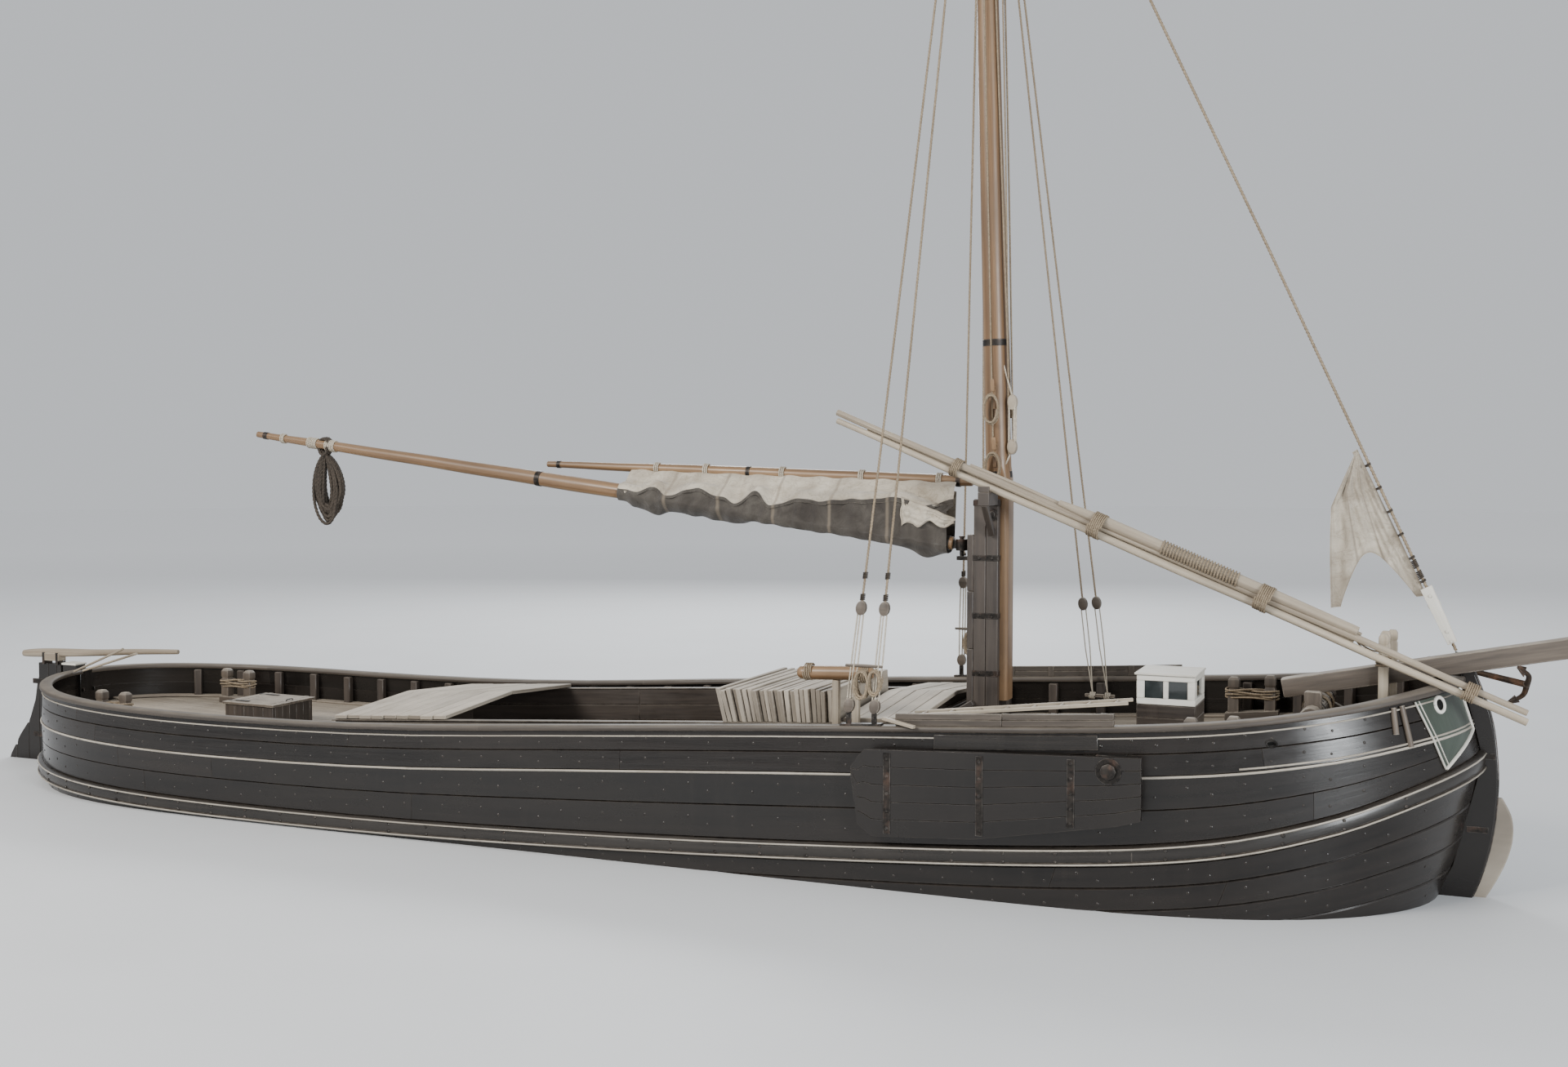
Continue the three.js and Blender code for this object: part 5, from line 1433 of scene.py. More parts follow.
def blockShell(work, centre, long, wide, thick, up=(0, 0, 1)):
    # wooden pulley block: an oval shell with its axis along Y
    centre, up = Vector(centre), Vector(up).normalized()
    across = up.cross(Vector((0, 1, 0))).normalized()
    rings = []
    for y, share in ((-thick, 0.75), (-thick * 0.8, 0.95), (thick * 0.8, 0.95), (thick, 0.75)):
        rings.append([centre + Vector((0, y, 0)) + (across * cos(a) * wide + up * sin(a) * long) * share
            for a in around(14)])
    work.loft(rings)


mastBlocks = Joinery(115)
for centre in ((4.20, -0.08, 5.66), (4.20, -0.08, 5.20), (3.935, 0.05, 13.52), (3.935, -0.05, 13.52),
        (3.90, -0.06, 12.52)):
    blockShell(mastBlocks, centre, 0.085, 0.052, 0.040)
mastBlocks.piece("mastBlocks", "paleSpar", "mast", bevel=0.004)
ropes("mastTackle", [[Vector((4.20 + dx, dy - 0.08, 5.62)), Vector((4.20 + dx, dy * 0.8 - 0.08, 5.25))]
    for dx, dy in ((-0.03, -0.03), (0.0, 0.035), (0.03, -0.03), (0.03, 0.03))]
    + [[Vector((4.19, -0.08, 5.15)), Vector((4.13, -0.08, 5.02))],
    [Vector((4.195, -0.08, 5.72)), Vector((4.10, -0.07, 6.05))]], 0.011, "paleRope", "mast")

print("boom, gaff and furled mainsail")
boomRadii = [(0, 0.070), (0.04, 0.084), (0.5, 0.088), (0.85, 0.062), (1, 0.038)]
boomLine = sparLine((3.55, 0, 4.18), (-5.64, 0, 5.38), boomRadii)
sparPiece("boomSpar", boomLine, 48, "oiledSpar", "boom", "boom", wander=0.0015)
boomIron = Joinery(116)
washer(boomIron, (3.64, 0, 0), 0.0235, 0.062, 4.11, 4.23)
boomIron.box((3.49, -0.030, 4.13), (3.585, 0.030, 4.22), 0)
boomIron.piece("gooseneckEye", "tarredIron", "boom", bevel=0.004)
hoops("boomBands", boomLine, (0.008, 0.05, 0.55, 0.985), "boom")
gaffRadii = [(0, 0.050), (0.06, 0.066), (0.6, 0.064), (1, 0.036)]
gaffLine = sparLine((3.66, 0.34, 4.83), (-1.56, 0.28, 5.01), gaffRadii)
sparPiece("gaffSpar", gaffLine, 30, "oiledSpar", "boom", "gaff", 16, 0.001)
hoops("gaffBands", gaffLine, (0.03, 0.5, 0.97), "boom", wide=0.025)
lashings = []
for t, turns in ((0.905, 7), (0.875, 7), (0.955, 3)):
    p, r = boomLine(t)
    lashings.append(coilPath(p, (-9.19, 0, 1.2), r + 0.009, turns, 0.021, 0.002, 0.02, turns))
for t in (0.07, 0.24, 0.42, 0.60, 0.72):
    p, r = gaffLine(t)
    lashings.append(coilPath(p, (-5.2, 0, 0.18), r + 0.009, 3, 0.022, 0.003, 0.03, 5))
ropes("boomLashings", lashings, 0.010, "paleRope", "boom")
hang, _ = boomLine(0.888)
hankShape = {"loops": 28, "wide": (0.01, 0.27), "tall": (0.60, 0.88), "deep": (-0.08, 0.08),
    "lean": (-0.02, 0.10)}
dice = random.Random(17)
bends = [[dice.uniform(*hankShape[key]) for key in ("wide", "tall", "deep", "lean")]
    for _ in range(hankShape["loops"] + 1)]
hank = []
for i in range(hankShape["loops"] * 24 + 1):
    k, t = min(i // 24, hankShape["loops"] - 1), i / 24 - min(i // 24, hankShape["loops"] - 1)
    wide, tall, deep, lean = (a + (b - a) * t for a, b in zip(bends[k], bends[k + 1]))
    low = sin(pi * t)
    hank.append(Vector((hang.x + 0.03 + wide * sin(2 * pi * t) * low ** 0.4 + lean * low ** 2,
        deep * (0.25 + 0.75 * low), hang.z - 0.10 - wide * 0.08 - tall * low ** 2)))
ropes("boomCoil", [hank, coilPath((hang.x + 0.02, 0, hang.z - 0.02), (0.3, 1, 0.1), 0.10, 3, 0.03, 0.01,
    0.06, 8)], 0.021, "darkRope", "boom")

# The furled mainsail: one cloth that hangs from the gaff in bights, and is gathered back up inside
sailSettings = {"x": (3.50, -0.42), "along": 230, "down": 120,
    "bights": [(3.50, 4.60, 4.08), (3.26, 4.54, 4.03), (2.93, 4.62, 4.14), (2.52, 4.60, 4.26),
    (2.07, 4.58, 4.27), (1.84, 4.61, 4.33), (1.49, 4.53, 4.37), (1.30, 4.68, 4.39), (1.06, 4.55, 4.35),
    (0.90, 4.62, 4.37), (0.57, 4.71, 4.42), (0.21, 4.63, 4.47), (0.05, 4.73, 4.44), (-0.25, 4.65, 4.52),
    (-0.42, 4.70, 4.62)]}


def bightAt(x):
    table = sailSettings["bights"]
    for (xa, ua, la), (xb, ub, lb) in zip(table, table[1:]):
        if xb <= x <= xa:
            t = (xa - x) / (xa - xb)
            t = t * t * (3 - 2 * t)
            return ua + (ub - ua) * t, la + (lb - la) * t
    return table[-1][1:]


def clothPiece(name, grid, material, body, node, flat, seams, shadeAndTan=(2, 2)):
    # shadeAndTan: share of the way down between which the cloth is dark: painted shade on the furl's
    # underside under the boom, over canvas tanned dark
    rows, columns = len(grid), len(grid[0])
    mesh = bpy.data.meshes.new(name)
    faces = [(r * columns + c, (r + 1) * columns + c, (r + 1) * columns + c + 1, r * columns + c + 1)
        for r in range(rows - 1) for c in range(columns - 1)]
    mesh.from_pydata([tuple(p) for row in grid for p in row], [], faces)
    layer = mesh.uv_layers.new(name="UVMap")
    for loop in mesh.loops:
        r, c = divmod(loop.vertex_index, columns)
        layer.data[loop.index].uv = (flat[0] * c / (columns - 1), flat[1] * r / (rows - 1))
    seam = mesh.attributes.new("seam", "FLOAT", "POINT")
    seam.data.foreach_set("value", [1.0 if c in seams or r in (1, rows - 2) else 0.0 for r in range(rows)
        for c in range(columns)])
    # rows darkened with painted shade on tanned canvas
    shade = mesh.attributes.new("shadeAndTan", "FLOAT", "POINT")
    shade.data.foreach_set("value", [1.0 if shadeAndTan[0] < r / (rows - 1) < shadeAndTan[1] else 0.0 for r in range(rows)
        for c in range(columns)])
    piece = finishPiece(mesh, name, material, body, smooth=180, node=node)
    return piece


def surfaceArea(grid):
    total = 0.0
    for a, b in zip(grid, grid[1:]):
        for i in range(len(a) - 1):
            total += ((b[i] - a[i]).cross(a[i + 1] - a[i])).length / 2
            total += ((b[i + 1] - b[i]).cross(b[i + 1] - a[i + 1])).length / 2
    return total


dice = random.Random(4)
waves = [(dice.uniform(1.5, 16), dice.uniform(0, 6.3), dice.uniform(0.3, 1.0)) for _ in range(9)]


def ripple(x, shift=0.0):
    return sum(sin(f * x + p + shift) * a / (1 + f * 0.12) for f, p, a in waves) / 3.0


grid = []
for r in range(sailSettings["down"] + 1):
    t = r / sailSettings["down"]
    row = []
    for c in range(sailSettings["along"] + 1):
        x = sailSettings["x"][0] + (sailSettings["x"][1] - sailSettings["x"][0]) * c / sailSettings["along"]
        pale, dark = bightAt(x)
        gaffPoint, gaffR = gaffLine((3.66 - x) / 5.22)
        top = gaffPoint.z - gaffR * 0.2
        top += 0.008 * sin(x * 17)
        boomPoint, boomR = boomLine((3.55 - x) / 9.19)
        mid = boomPoint.z
        # one fold in y and z: over the boom to the pale edge, then the dark underside (painted shade on
        # tanned canvas), round the boom and up
        knots = [(0.262, top), (0.200, top - 0.05), (0.110, top - 0.13), (0.010, pale + 0.10),
            (-0.070, pale + 0.04), (-0.112, pale), (-0.100, pale + 0.03), (-0.104, mid + 0.03),
            (-0.118, mid - 0.03), (-0.075, mid - 0.10), (0.010, dark), (0.100, dark + 0.02),
            (0.180, dark + 0.10), (0.215, dark + 0.20), (0.268, top - 0.10)]
        k = t * (len(knots) - 1)
        i = min(int(k), len(knots) - 2)
        f = k - i
        a, b = knots[i], knots[i + 1]
        before, after = knots[max(i - 1, 0)], knots[min(i + 2, len(knots) - 1)]
        y = hermite(a[0], b[0], (b[0] - before[0]) / 2, (after[0] - a[0]) / 2, 1.0, f)
        z = hermite(a[1], b[1], (b[1] - before[1]) / 2, (after[1] - a[1]) / 2, 1.0, f)
        fade = sin(pi * t) ** 0.5
        y += (0.024 * ripple(x * 1.3, t * 5) + 0.010 * sin(x * 31 + t * 9 + 2 * ripple(x))) * fade
        z += 0.016 * ripple(x * 1.9, 2 + t * 3) * fade
        away = hypot(y, z - mid)
        if away < boomR + 0.012:
            y, z = y / max(away, 0.01) * (boomR + 0.012), mid + (z - mid) / max(away, 0.01) * (boomR + 0.012)
        y = min(max(y, -0.145), 0.30)
        if z > 4.335 + 0.364 * (4.04 - x):  # stays clear of the mast when it is lowered
            y = max(y, 0.152 + 0.1 * (y + 0.1))
        row.append(Vector((x, y, z)))
    grid.append(row)
area = surfaceArea(grid)
width = abs(sailSettings["x"][1] - sailSettings["x"][0])
mainFlat = (round(width + 0.08, 2), round(area / (width + 0.08), 2))
# from 0.365 to 0.95 of the way down: the underside, dark with painted shade on tanned canvas
clothPiece("furledMainsail", grid, "sailCanvas", "boom", "furled_mainsail", mainFlat,
    [38, 39, 77, 78, 116, 117, 155, 156, 194, 195], (0.365, 0.95))
print("furled mainsail", mainFlat, round(area, 2))

grid = []
for r in range(31):
    row = []
    for c in range(41):
        u, t = c / 40, r / 30
        x = 3.00 + 0.60 * u
        top = 4.300 + 0.364 * (4.04 - x)
        low = 4.365 + 0.05 * u - 0.10 * max(u - 0.55, 0) + 0.03 * sin(u * 14)
        z = top + (low - top) * t
        y = -0.128 + 0.016 * sin(u * 21 + t * 3) + 0.010 * sin(u * 9 - t * 7) * t + 0.004 * sin(t * 26)
        row.append(Vector((x + 0.012 * sin(t * 8 + u * 5), y, z)))
    grid.append(row)
area = surfaceArea(grid)
clothPiece("throatFlap", grid, "sailCanvas", "boom", None, (0.62, 0.40),
    [1, 39])
print("throat flap", round(area, 3))

print("foresail and stays")
stayTop, stayFoot = Vector((3.9155, 0, 13.09)), Vector((8.48, 0, 3.27))


def stayAt(z):
    return stayTop.lerp(stayFoot, (stayTop.z - z) / (stayTop.z - stayFoot.z))


grid = []
for r in range(91):
    t = r / 90  # from the head down
    row = []
    top = 5.17
    for c in range(71):
        u = c / 70  # from the leech forward to the luff
        foot = (1 - u) * 3.66 + u * 3.78 + 0.47 * max(sin(pi * min(max((u - 0.10) / 0.78, 0), 1)), 0) ** 0.8
        z = top - 0.03 * (1 - u) + (foot - top) * t
        luff = stayAt(z).x - 0.03
        leech = 7.55 - 0.20 * min(t / 0.35, 1) - 0.02 * sin(3 * t)
        x = leech + (luff - leech) * u if t > 0.02 else luff - 0.06 * (1 - u)
        spread = min(t * 3, 1)
        y = 0.034 + spread * (0.030 * (1 - abs(2 * u - 1) ** 3) * (0.6 + sin(u * 9 + t * 2.2)) * 0.55 + 0.012
            * sin(u * 23 + t * 7) + 0.006 * sin(u * 51 - t * 13))
        row.append(Vector((x, min(max(y, 0.019), 0.095), z)))
    grid.append(row)
area = surfaceArea(grid)
jibFlat = (0.98, 1.56)
foresail = clothPiece("foresailCloth", grid, "jibCanvas", "hull", "foresail", jibFlat,
    [1, 23, 24, 46, 47, 69])
print("foresail", jibFlat, round(area, 2))
hanks = []
for k in range(6):
    p = stayAt(5.02 - k * 0.22)
    hanks.append(coilPath(p, stayTop - stayFoot, 0.026, 2, 0.012, 0, 0.02, k))
jibHanks = ropes("foresailHanks", hanks, 0.006, "darkRope")
for piece in (foresail, jibHanks):
    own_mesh(piece)

stayForward = Vector((0.907, 0, 0.4214))
ropes("forestayRope", [[stayTop.lerp(stayFoot, i / 60) + stayForward * 0.030 * min(i / 3, 1)
    * min((60 - i) / 24, 1) for i in range(61)]], 0.0165, "hempRope", "forestay", node="forestay")
stayIron = Joinery(121)
along = (stayFoot - stayTop).normalized()
for offset in (-0.030, 0.030):
    a, b = stayAt(3.86), stayAt(3.34)
    stayIron.beam((a.x, offset, a.z), (b.x, offset, b.z), 0.010, 0.11, 0.010, 0.09)
wheel = stayAt(3.70)
for z in (3.78, 3.45, 3.36):
    p = stayAt(z)
    stayIron.round([(p.x, -0.045, p.z), (p.x, 0.045, p.z)], 0.015, 10)
stayIron.round([(wheel.x, -0.022, wheel.z), (wheel.x, 0, wheel.z), (wheel.x, 0.022, wheel.z)],
    [0.06, 0.052, 0.06], 20)
stayIron.piece("forestayPlates", "cabinPaint", "forestay", slotName="fittings", bevel=0.002)
ropes("forestayCollar", [coilPath(stayAt(4.08 - k * 0.1), stayTop - stayFoot, 0.023, 5, 0.016, 0, 0.02, k)
    for k in range(2)], 0.007, "darkRope", "forestay")

shroudY, shroudZ = 1.905, 2.64
for name, s in sides:
    feet = [Vector((x, s * shroudY, shroudZ)) for x in (3.08, 3.34)]
    heads = [Vector((3.78 + 0.024 * i, s * 0.132, 13.08)) for i in (0, 1)]
    paths, tackle = [], []
    for foot, head in zip(feet, heads):
        line = lambda t, a=foot, b=head: a.lerp(b, t)
        paths.append([line(0.095 + 0.905 * i / 50) for i in range(51)])
        for dx, dy in ((-0.030, 0), (0.0, 0.012), (0.030, 0)):
            shift = Vector((dx, dy * s, 0))
            tackle.append([line(0.008) + shift, line(0.05) + shift * 1.15, line(0.09) + shift])
    seize = []
    for i, (foot, head) in enumerate(zip(feet, heads)):
        for t in (0.105, 0.125, 0.955):
            seize.append(coilPath(foot.lerp(head, t), head - foot, 0.021, 5, 0.013, 0, 0.02, i + 3))
    seize.append(coilPath((3.78, s * 0.132, 12.98), (0, 0, 1), 0.034, 7, 0.014, 0, 0.03, 9))
    pieces = [ropes("shroudRopes_" + name, paths, 0.0135, "hempRope", "shrouds", node="shrouds_" + name),
        ropes("shroudTackle_" + name, tackle, 0.009, "paleRope", "shrouds"),
        ropes("shroudSeizings_" + name, seize, 0.006, "darkRope", "shrouds")]
    hung = []
    for x, drop, turns in ((3.20, 0.23, 9), (3.33, 0.20, 7)):
        hung.append(coilPath((x, s * 1.865, 3.05 - drop * 0.62), (0, 1, 0), drop * 0.30, turns, 0.013, 0.012,
            0.12, turns + s, 1.9))
    coil = ropes("shroudCoils_" + name, hung, 0.013, "hempRope", "shrouds")
    wood = Joinery(123 + s)
    for foot, head in zip(feet, heads):
        for t in (0.006, 0.095):
            blockShell(wood, foot.lerp(head, t), 0.075, 0.055, 0.032, head - foot)
    wood.round([(3.02, s * 1.835, 3.08), (3.21, s * 1.83, 3.08), (3.40, s * 1.835, 3.08)],
        [0.014, 0.019, 0.014], 10)
    deadeyes = wood.piece("shroudBlocks_" + name, "fittingOakSolid", "shrouds", bevel=0.004)
    for piece in pieces + [coil, deadeyes]:
        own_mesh(piece)
    plates = Joinery(125 + s)
    top = railZ(3.21) + 0.0556
    plates.loft([slab(x, s * shroudY - 0.048, s * shroudY + 0.048, railZ(x) + 0.0558, railZ(x) + 0.075)
        for x in (3.0, 3.14, 3.28, 3.42)])
    for x in (3.08, 3.34):
        plates.beam((x, s * shroudY, top), (x, s * shroudY, 2.636), 0.022, 0.05)
        plates.round([(x, s * shroudY - 0.03, 2.60), (x, s * shroudY + 0.03, 2.60)], 0.012, 8)
    plates.piece("chainplateIron_" + name, "tarredIron", bevel=0.003, node="chainplate_" + name)

# two falls from the masthead to a cleat inside the port bulwark; they are let go when the mast is lowered
fallHead, fallFoot = Vector((3.862, 0.082, 12.74)), Vector((4.75, 1.762, 2.42))
falls, fallTackle, fallWood = [], [], Joinery(127)
for shift in (-0.085, 0.085):
    head, foot = fallHead + Vector((0, 0, shift)), fallFoot + Vector((shift, 0, 0))
    falls.append([foot.lerp(head, 0.10 + 0.90 * i / 50) for i in range(51)])
    for dx in (-0.026, 0.026):
        fallTackle.append([foot, foot.lerp(head, 0.05) + Vector((dx, 0, 0)),
            foot.lerp(head, 0.10) + Vector((dx, 0, 0))])
    fallTackle.append(coilPath(foot - Vector((0, 0, 0.028)), (1, 0, 0), 0.034, 4, 0.016, 0, 0.03, 5))
    blockShell(fallWood, foot.lerp(head, 0.10), 0.080, 0.055, 0.034, head - foot)
for piece in (ropes("fallRopes", falls, 0.0125, "hempRope"), ropes("fallTackle", fallTackle, 0.008,
        "paleRope"), fallWood.piece("fallBlocks", "fittingOakSolid", bevel=0.004)):
    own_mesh(piece)
fallCleat = Joinery(128)
fallCleat.box((4.58, 1.742, 2.372), (4.92, 1.781, 2.410), 0)
fallCleat.piece("fallCleat", "fittingOak", bevel=0.006)

print("bowsprit, windlass and bitts")
sprit = Joinery(131)
a, b = Vector((6.95, -0.33, 2.88)), Vector((10.95, -0.33, 3.68))
along = (b - a).normalized()
up = Vector((0, 1, 0)).cross(along) * -1
rings = []
for t, half, power in [(0, 0.090, 4), (0.01, 0.0945, 4), (0.62, 0.0945, 4), (0.655, 0.090, 1.6),
        (0.68, 0.086, 1), (0.8, 0.080, 1), (0.93, 0.070, 1), (1, 0.048, 1)]:
    ring = []
    for angle in around(20, 0.5):
        c, d = cos(angle), sin(angle)
        reach = half / (abs(c) ** (2 * power) + abs(d) ** (2 * power)) ** (0.5 / power)
        ring.append(a.lerp(b, t) + Vector((0, c * reach, 0)) + up * d * reach)
    rings.append(ring)
sprit.loft(rings)
sprit.piece("bowspritSpar", "fittingOak", slotName="spar", bevel=0.004, node="bowsprit")
spritIron = Joinery(132)
for t, r in ((0.665, 0.092), (0.985, 0.058)):
    p = a.lerp(b, t)
    spritIron.round([p - along * 0.03, p - along * 0.027, p + along * 0.027, p + along * 0.03],
        [r - 0.01, r, r, r - 0.01], 20)
    spritIron.round([p + up * r, p + up * (r + 0.05), p + up * (r + 0.01) + along * 0.04], 0.008, 8)
spritIron.piece("bowspritIron", "tarredIron")


def postBlock(work, x, y, half, low, high, head=0.10):
    # squared post with a chamfered head and a shallow waist below it
    shape = [(low, half), (high - head - 0.03, half), (high - head - 0.012, half * 0.86),
        (high - head, half * 0.86), (high - head + 0.012, half), (high - 0.03, half), (high, half * 0.62)]
    work.loft([[(x - r, y - r, z), (x + r, y - r, z), (x + r, y + r, z), (x - r, y + r, z)]
        for z, r in shape])


bitts = Joinery(133)
for x, y in ((7.86, -0.1895), (7.86, -0.4705), (7.92, -0.04)):
    postBlock(bitts, x, y, 0.045, deckZ(x) + 0.002, 3.45)
bitts.box((7.816, -0.50, 2.62), (7.934, 0.0, 2.72), 1)
bitts.piece("bowBittPosts", "paleSpar", slotName="fittings", bevel=0.006, node="bow_bitts")

barrel = Joinery(134)
axleX, axleZ = 7.25, 2.68
x, z = axleX, axleZ
for k in range(8):
    angle = 2 * pi * k / 8 + 0.2
    c, d = cos(angle), sin(angle)
    rings = []
    for y, r in ((-0.555, 0.104), (-0.30, 0.108), (0, 0.112), (0.30, 0.108), (0.555, 0.104)):
        centre = Vector((x, y, z))
        out, tangent = Vector((c, 0, d)), Vector((-d, 0, c))
        rings.append([centre + out * (r * share) + tangent * wide
            for share, wide in ((0.35, -0.012), (0.985, -0.041), (1.0, -0.034), (1.0, 0.034), (0.985, 0.041),
            (0.35, 0.012))])
    barrel.loft(rings)
for s in (-1, 1):
    barrel.round([(x, s * y, z) for y in (0.69, 0.70, 0.79, 0.88, 0.90)],
        [0.092, 0.100, 0.086, 0.106, 0.098], 12)
barrel.piece("windlassWhelps", "fittingOak", "windlass", bevel=0.004, node="windlass_barrel")
barrelIron = Joinery(135)
barrelIron.round([(x, -0.78, z), (x, 0.78, z)], 0.044, 16)
for y in (-0.50, 0.50):
    barrelIron.round([(x, y - 0.022, z), (x, y - 0.02, z), (x, y + 0.02, z), (x, y + 0.022, z)],
        [0.08, 0.116, 0.116, 0.08], 24)
for angle in around(16):
    p = Vector((x + 0.112 * cos(angle), 0, z + 0.112 * sin(angle)))
    barrelIron.beam(p + Vector((0, -0.03, 0)), p + Vector((0, 0.03, 0)), 0.018, 0.012,
        side=(sin(angle), 0, -cos(angle)))
for k in range(8):
    angle = 2 * pi * k / 8 + 0.2
    for y in (-0.32, 0.32):
        p = Vector((x + 0.108 * cos(angle), y, z + 0.108 * sin(angle)))
        q = Vector((x + 0.1125 * cos(angle), y, z + 0.1125 * sin(angle)))
        barrelIron.beam(p, q, 0.042, 0.036)
barrelIron.piece("windlassIron", "tarredIron", "windlass")
ropes("windlassTurns", [coilPath((x, y, z), (0, 1, 0), 0.126, turns, 0.026, 0, 0.006, turns)
    for y, turns in ((-0.17, 4), (0.18, 3))], 0.0125, "hempRope", "windlass")
for name, s in sides:
    post = Joinery(136 + s)
    shape = [(deckZ(axleX) + 0.004, 0.080), (2.78, 0.080), (2.80, 0.072), (2.82, 0.080), (2.885, 0.080),
        (2.90, 0.06)]
    y0, y1 = sorted((s * 0.575, s * 0.675))
    post.loft([[(axleX - r, y0, h), (axleX + r, y0, h), (axleX + r, y1, h), (axleX - r, y1, h)]
        for h, r in shape])
    post.beam((7.34, s * 0.625, 2.60), (7.62, s * 0.625, deckZ(7.62) + 0.03), 0.08, 0.07)
    post.piece("windlassPost_" + name, "fittingOak", bevel=0.006, node="windlass_bitt_" + name)
    bearing = Joinery(138 + s)
    for y0, y1 in (sorted((s * 0.566, s * 0.574)), sorted((s * 0.676, s * 0.684))):
        bearing.round([(axleX, y0, axleZ), (axleX, y1, axleZ)], 0.075, 16)
    bearing.piece("windlassBearing_" + name, "tarredIron")

print("bollards and ropes on deck")
deckRopes = []
for place, x, y in (("fore", 6.45, 1.5), ("aft", -7.0, 1.12)):
    for name, s in sides:
        work = Joinery(int(141 + x + s))
        for c in (x - 0.19, x + 0.19):
            postBlock(work, c, s * y, 0.058, deckZ(c) + 0.002, deckZ(c) + 0.470, 0.12)
        work.loft([slab(c, s * y - 0.07, s * y + 0.07, deckZ(c) + 0.001, deckZ(c) + 0.09)
            for c in (x - 0.28, x + 0.28)])
        work.piece(f"bollardPosts_{place}_{name}", "fittingOak", bevel=0.008, steps=2,
            node=f"bollard_{place}_{name}")
        top = deckZ(x) + 0.24
        for lap in range(4):
            path = []
            for angle in around(40, 0, 1):
                path.append(Vector((x + 0.19 * cos(angle) + 0.085 * cos(angle),
                    s * y + 0.085 * sin(2 * angle if lap % 2 else angle),
                    top + lap * 0.026 + 0.008 * sin(angle * 3 + lap))))
            deckRopes.append(path)
for points, count in (([(6.72, -1.5, 2.50), (6.95, -1.35, 2.42), (7.10, -1.0, 2.44), (7.22, -0.80, 2.60)],
        24), ([(6.20, -1.52, 2.46), (5.95, -1.60, 2.36), (5.72, -1.55, 2.26), (5.60, -1.40, 2.20)], 20)):
    deckRopes.append(curvePath(points, count))
for z in (3.16, 3.185, 3.21, 3.235):
    deckRopes.append(coilPath((7.86, -0.4705, z), (0, 0, 1), 0.066, 1, 0.02, 0, 0.02, int(z * 100)))
for x, y, r, turns in ((6.0, -1.15, 0.17, 6), (-6.6, 0.75, 0.19, 6), (6.7, 1.0, 0.18, 5),
        (-7.6, -0.5, 0.16, 5)):
    for lap in range(2):
        path = []
        for i in range(turns * 24 + 1):
            t = i / 24
            reach = r * (1 - 0.115 * t) if lap else r * (1 - 0.11 * (turns - t)) + 0.01
            angle = 2 * pi * t
            px, py = x + reach * cos(angle), y + reach * sin(angle)
            path.append(Vector((px, py, deckZ(px) + 0.020 + lap * 0.022)))
        deckRopes.append(path)
ropes("deckRopes", deckRopes, 0.012, "hempRope")

print("skylight, companion and stowed gear")
light = Joinery(151)
x0, x1, y0, y1 = 5.62, 6.18, -0.72, -0.12
foot, top = deckZ(x0) + 0.002, deckZ(x0) + 0.785
sill, head = deckZ(x0) + 0.56, deckZ(x0) + 0.73
for s, y in ((-1, y0), (1, y1 - 0.045)):
    for a, b, low, high in ((x0, x1, sill - 0.06, sill), (x0, x1, head, top), (x0, x0 + 0.075, sill, head),
            (x1 - 0.075, x1, sill, head), (5.875, 5.925, sill, head)):
        light.box((a, y, low), (b, y + 0.045, high), 0)
for x in (x0, x1 - 0.045):
    for a, b, low, high in ((y0 + 0.045, y1 - 0.045, sill - 0.06, sill), (y0 + 0.045, y1 - 0.045, head, top),
            (y0 + 0.045, y0 + 0.11, sill, head), (y1 - 0.11, y1 - 0.045, sill, head)):
        light.box((x, a, low), (x + 0.045, b, high), 1)
light.box((x0 - 0.02, y0 - 0.02, top), (x1 + 0.01, y1 + 0.02, top + 0.022), 0)
skyBase = Joinery(150)
for k in range(4):
    low = foot + (sill - 0.062 - foot) * k / 4
    high = foot + (sill - 0.062 - foot) * (k + 1) / 4 - 0.003
    for y in (y0, y1 - 0.045):
        skyBase.box((x0, y, low), (x1, y + 0.045, high), 0)
    for x in (x0, x1 - 0.045):
        skyBase.box((x, y0 + 0.045, low), (x + 0.045, y1 - 0.045, high), 1)
skyBase.piece("skylightBase", "coamingOak", bevel=0.004)
light.piece("skylightFrame", "cabinPaint", bevel=0.005, node="skylight")
# opaque dark panes: painted shade of the cabin below
panes = Joinery(152)
for y in (y0 + 0.018, y1 - 0.024):
    panes.box((x0 + 0.07, y, sill - 0.004), (5.878, y + 0.006, head + 0.004))
    panes.box((5.922, y, sill - 0.004), (x1 - 0.07, y + 0.006, head + 0.004))
for x in (x0 + 0.018, x1 - 0.024):
    panes.box((x, y0 + 0.10, sill - 0.004), (x + 0.006, y1 - 0.10, head + 0.004), 1)
panes.piece("skylightPanes", "paneGlass")

cabin = Joinery(153)
x0, x1, half, wall = -5.90, -5.15, 0.38, 0.05
for k in range(5):
    a = x0 + (x1 - x0) * k / 5
    for s in (-1, 1):
        b0, b1 = sorted((s * half, s * (half - wall)))
        cabin.box((a + 0.001, b0, deckZ(a) + 0.003), (a + 0.149, b1, deckZ(a) + 0.298), 2)
for k in range(5):
    b = -half + wall + (2 * half - 2 * wall) * k / 5
    for x in (x0, x1 - wall):
        cabin.box((x, b + 0.001, deckZ(x) + 0.003), (x + wall, b + 0.135, deckZ(x) + 0.298), 2)
cabin.piece("companionWalls", "coamingOak", bevel=0.005, node="companion")
lid = Joinery(154)
for k in range(5):
    b = -0.405 + 0.81 * k / 5
    lid.loft([slab(x, b + 0.002, b + 0.160, deckZ(x) + 0.3012, deckZ(x) + 0.330)
        for x in (x0 - 0.025, -5.52, x1 + 0.025)])
for x in (-5.82, -5.25):
    lid.box((x - 0.03, -0.40, deckZ(x) + 0.3302), (x + 0.03, 0.40, deckZ(x) + 0.3355), 1)
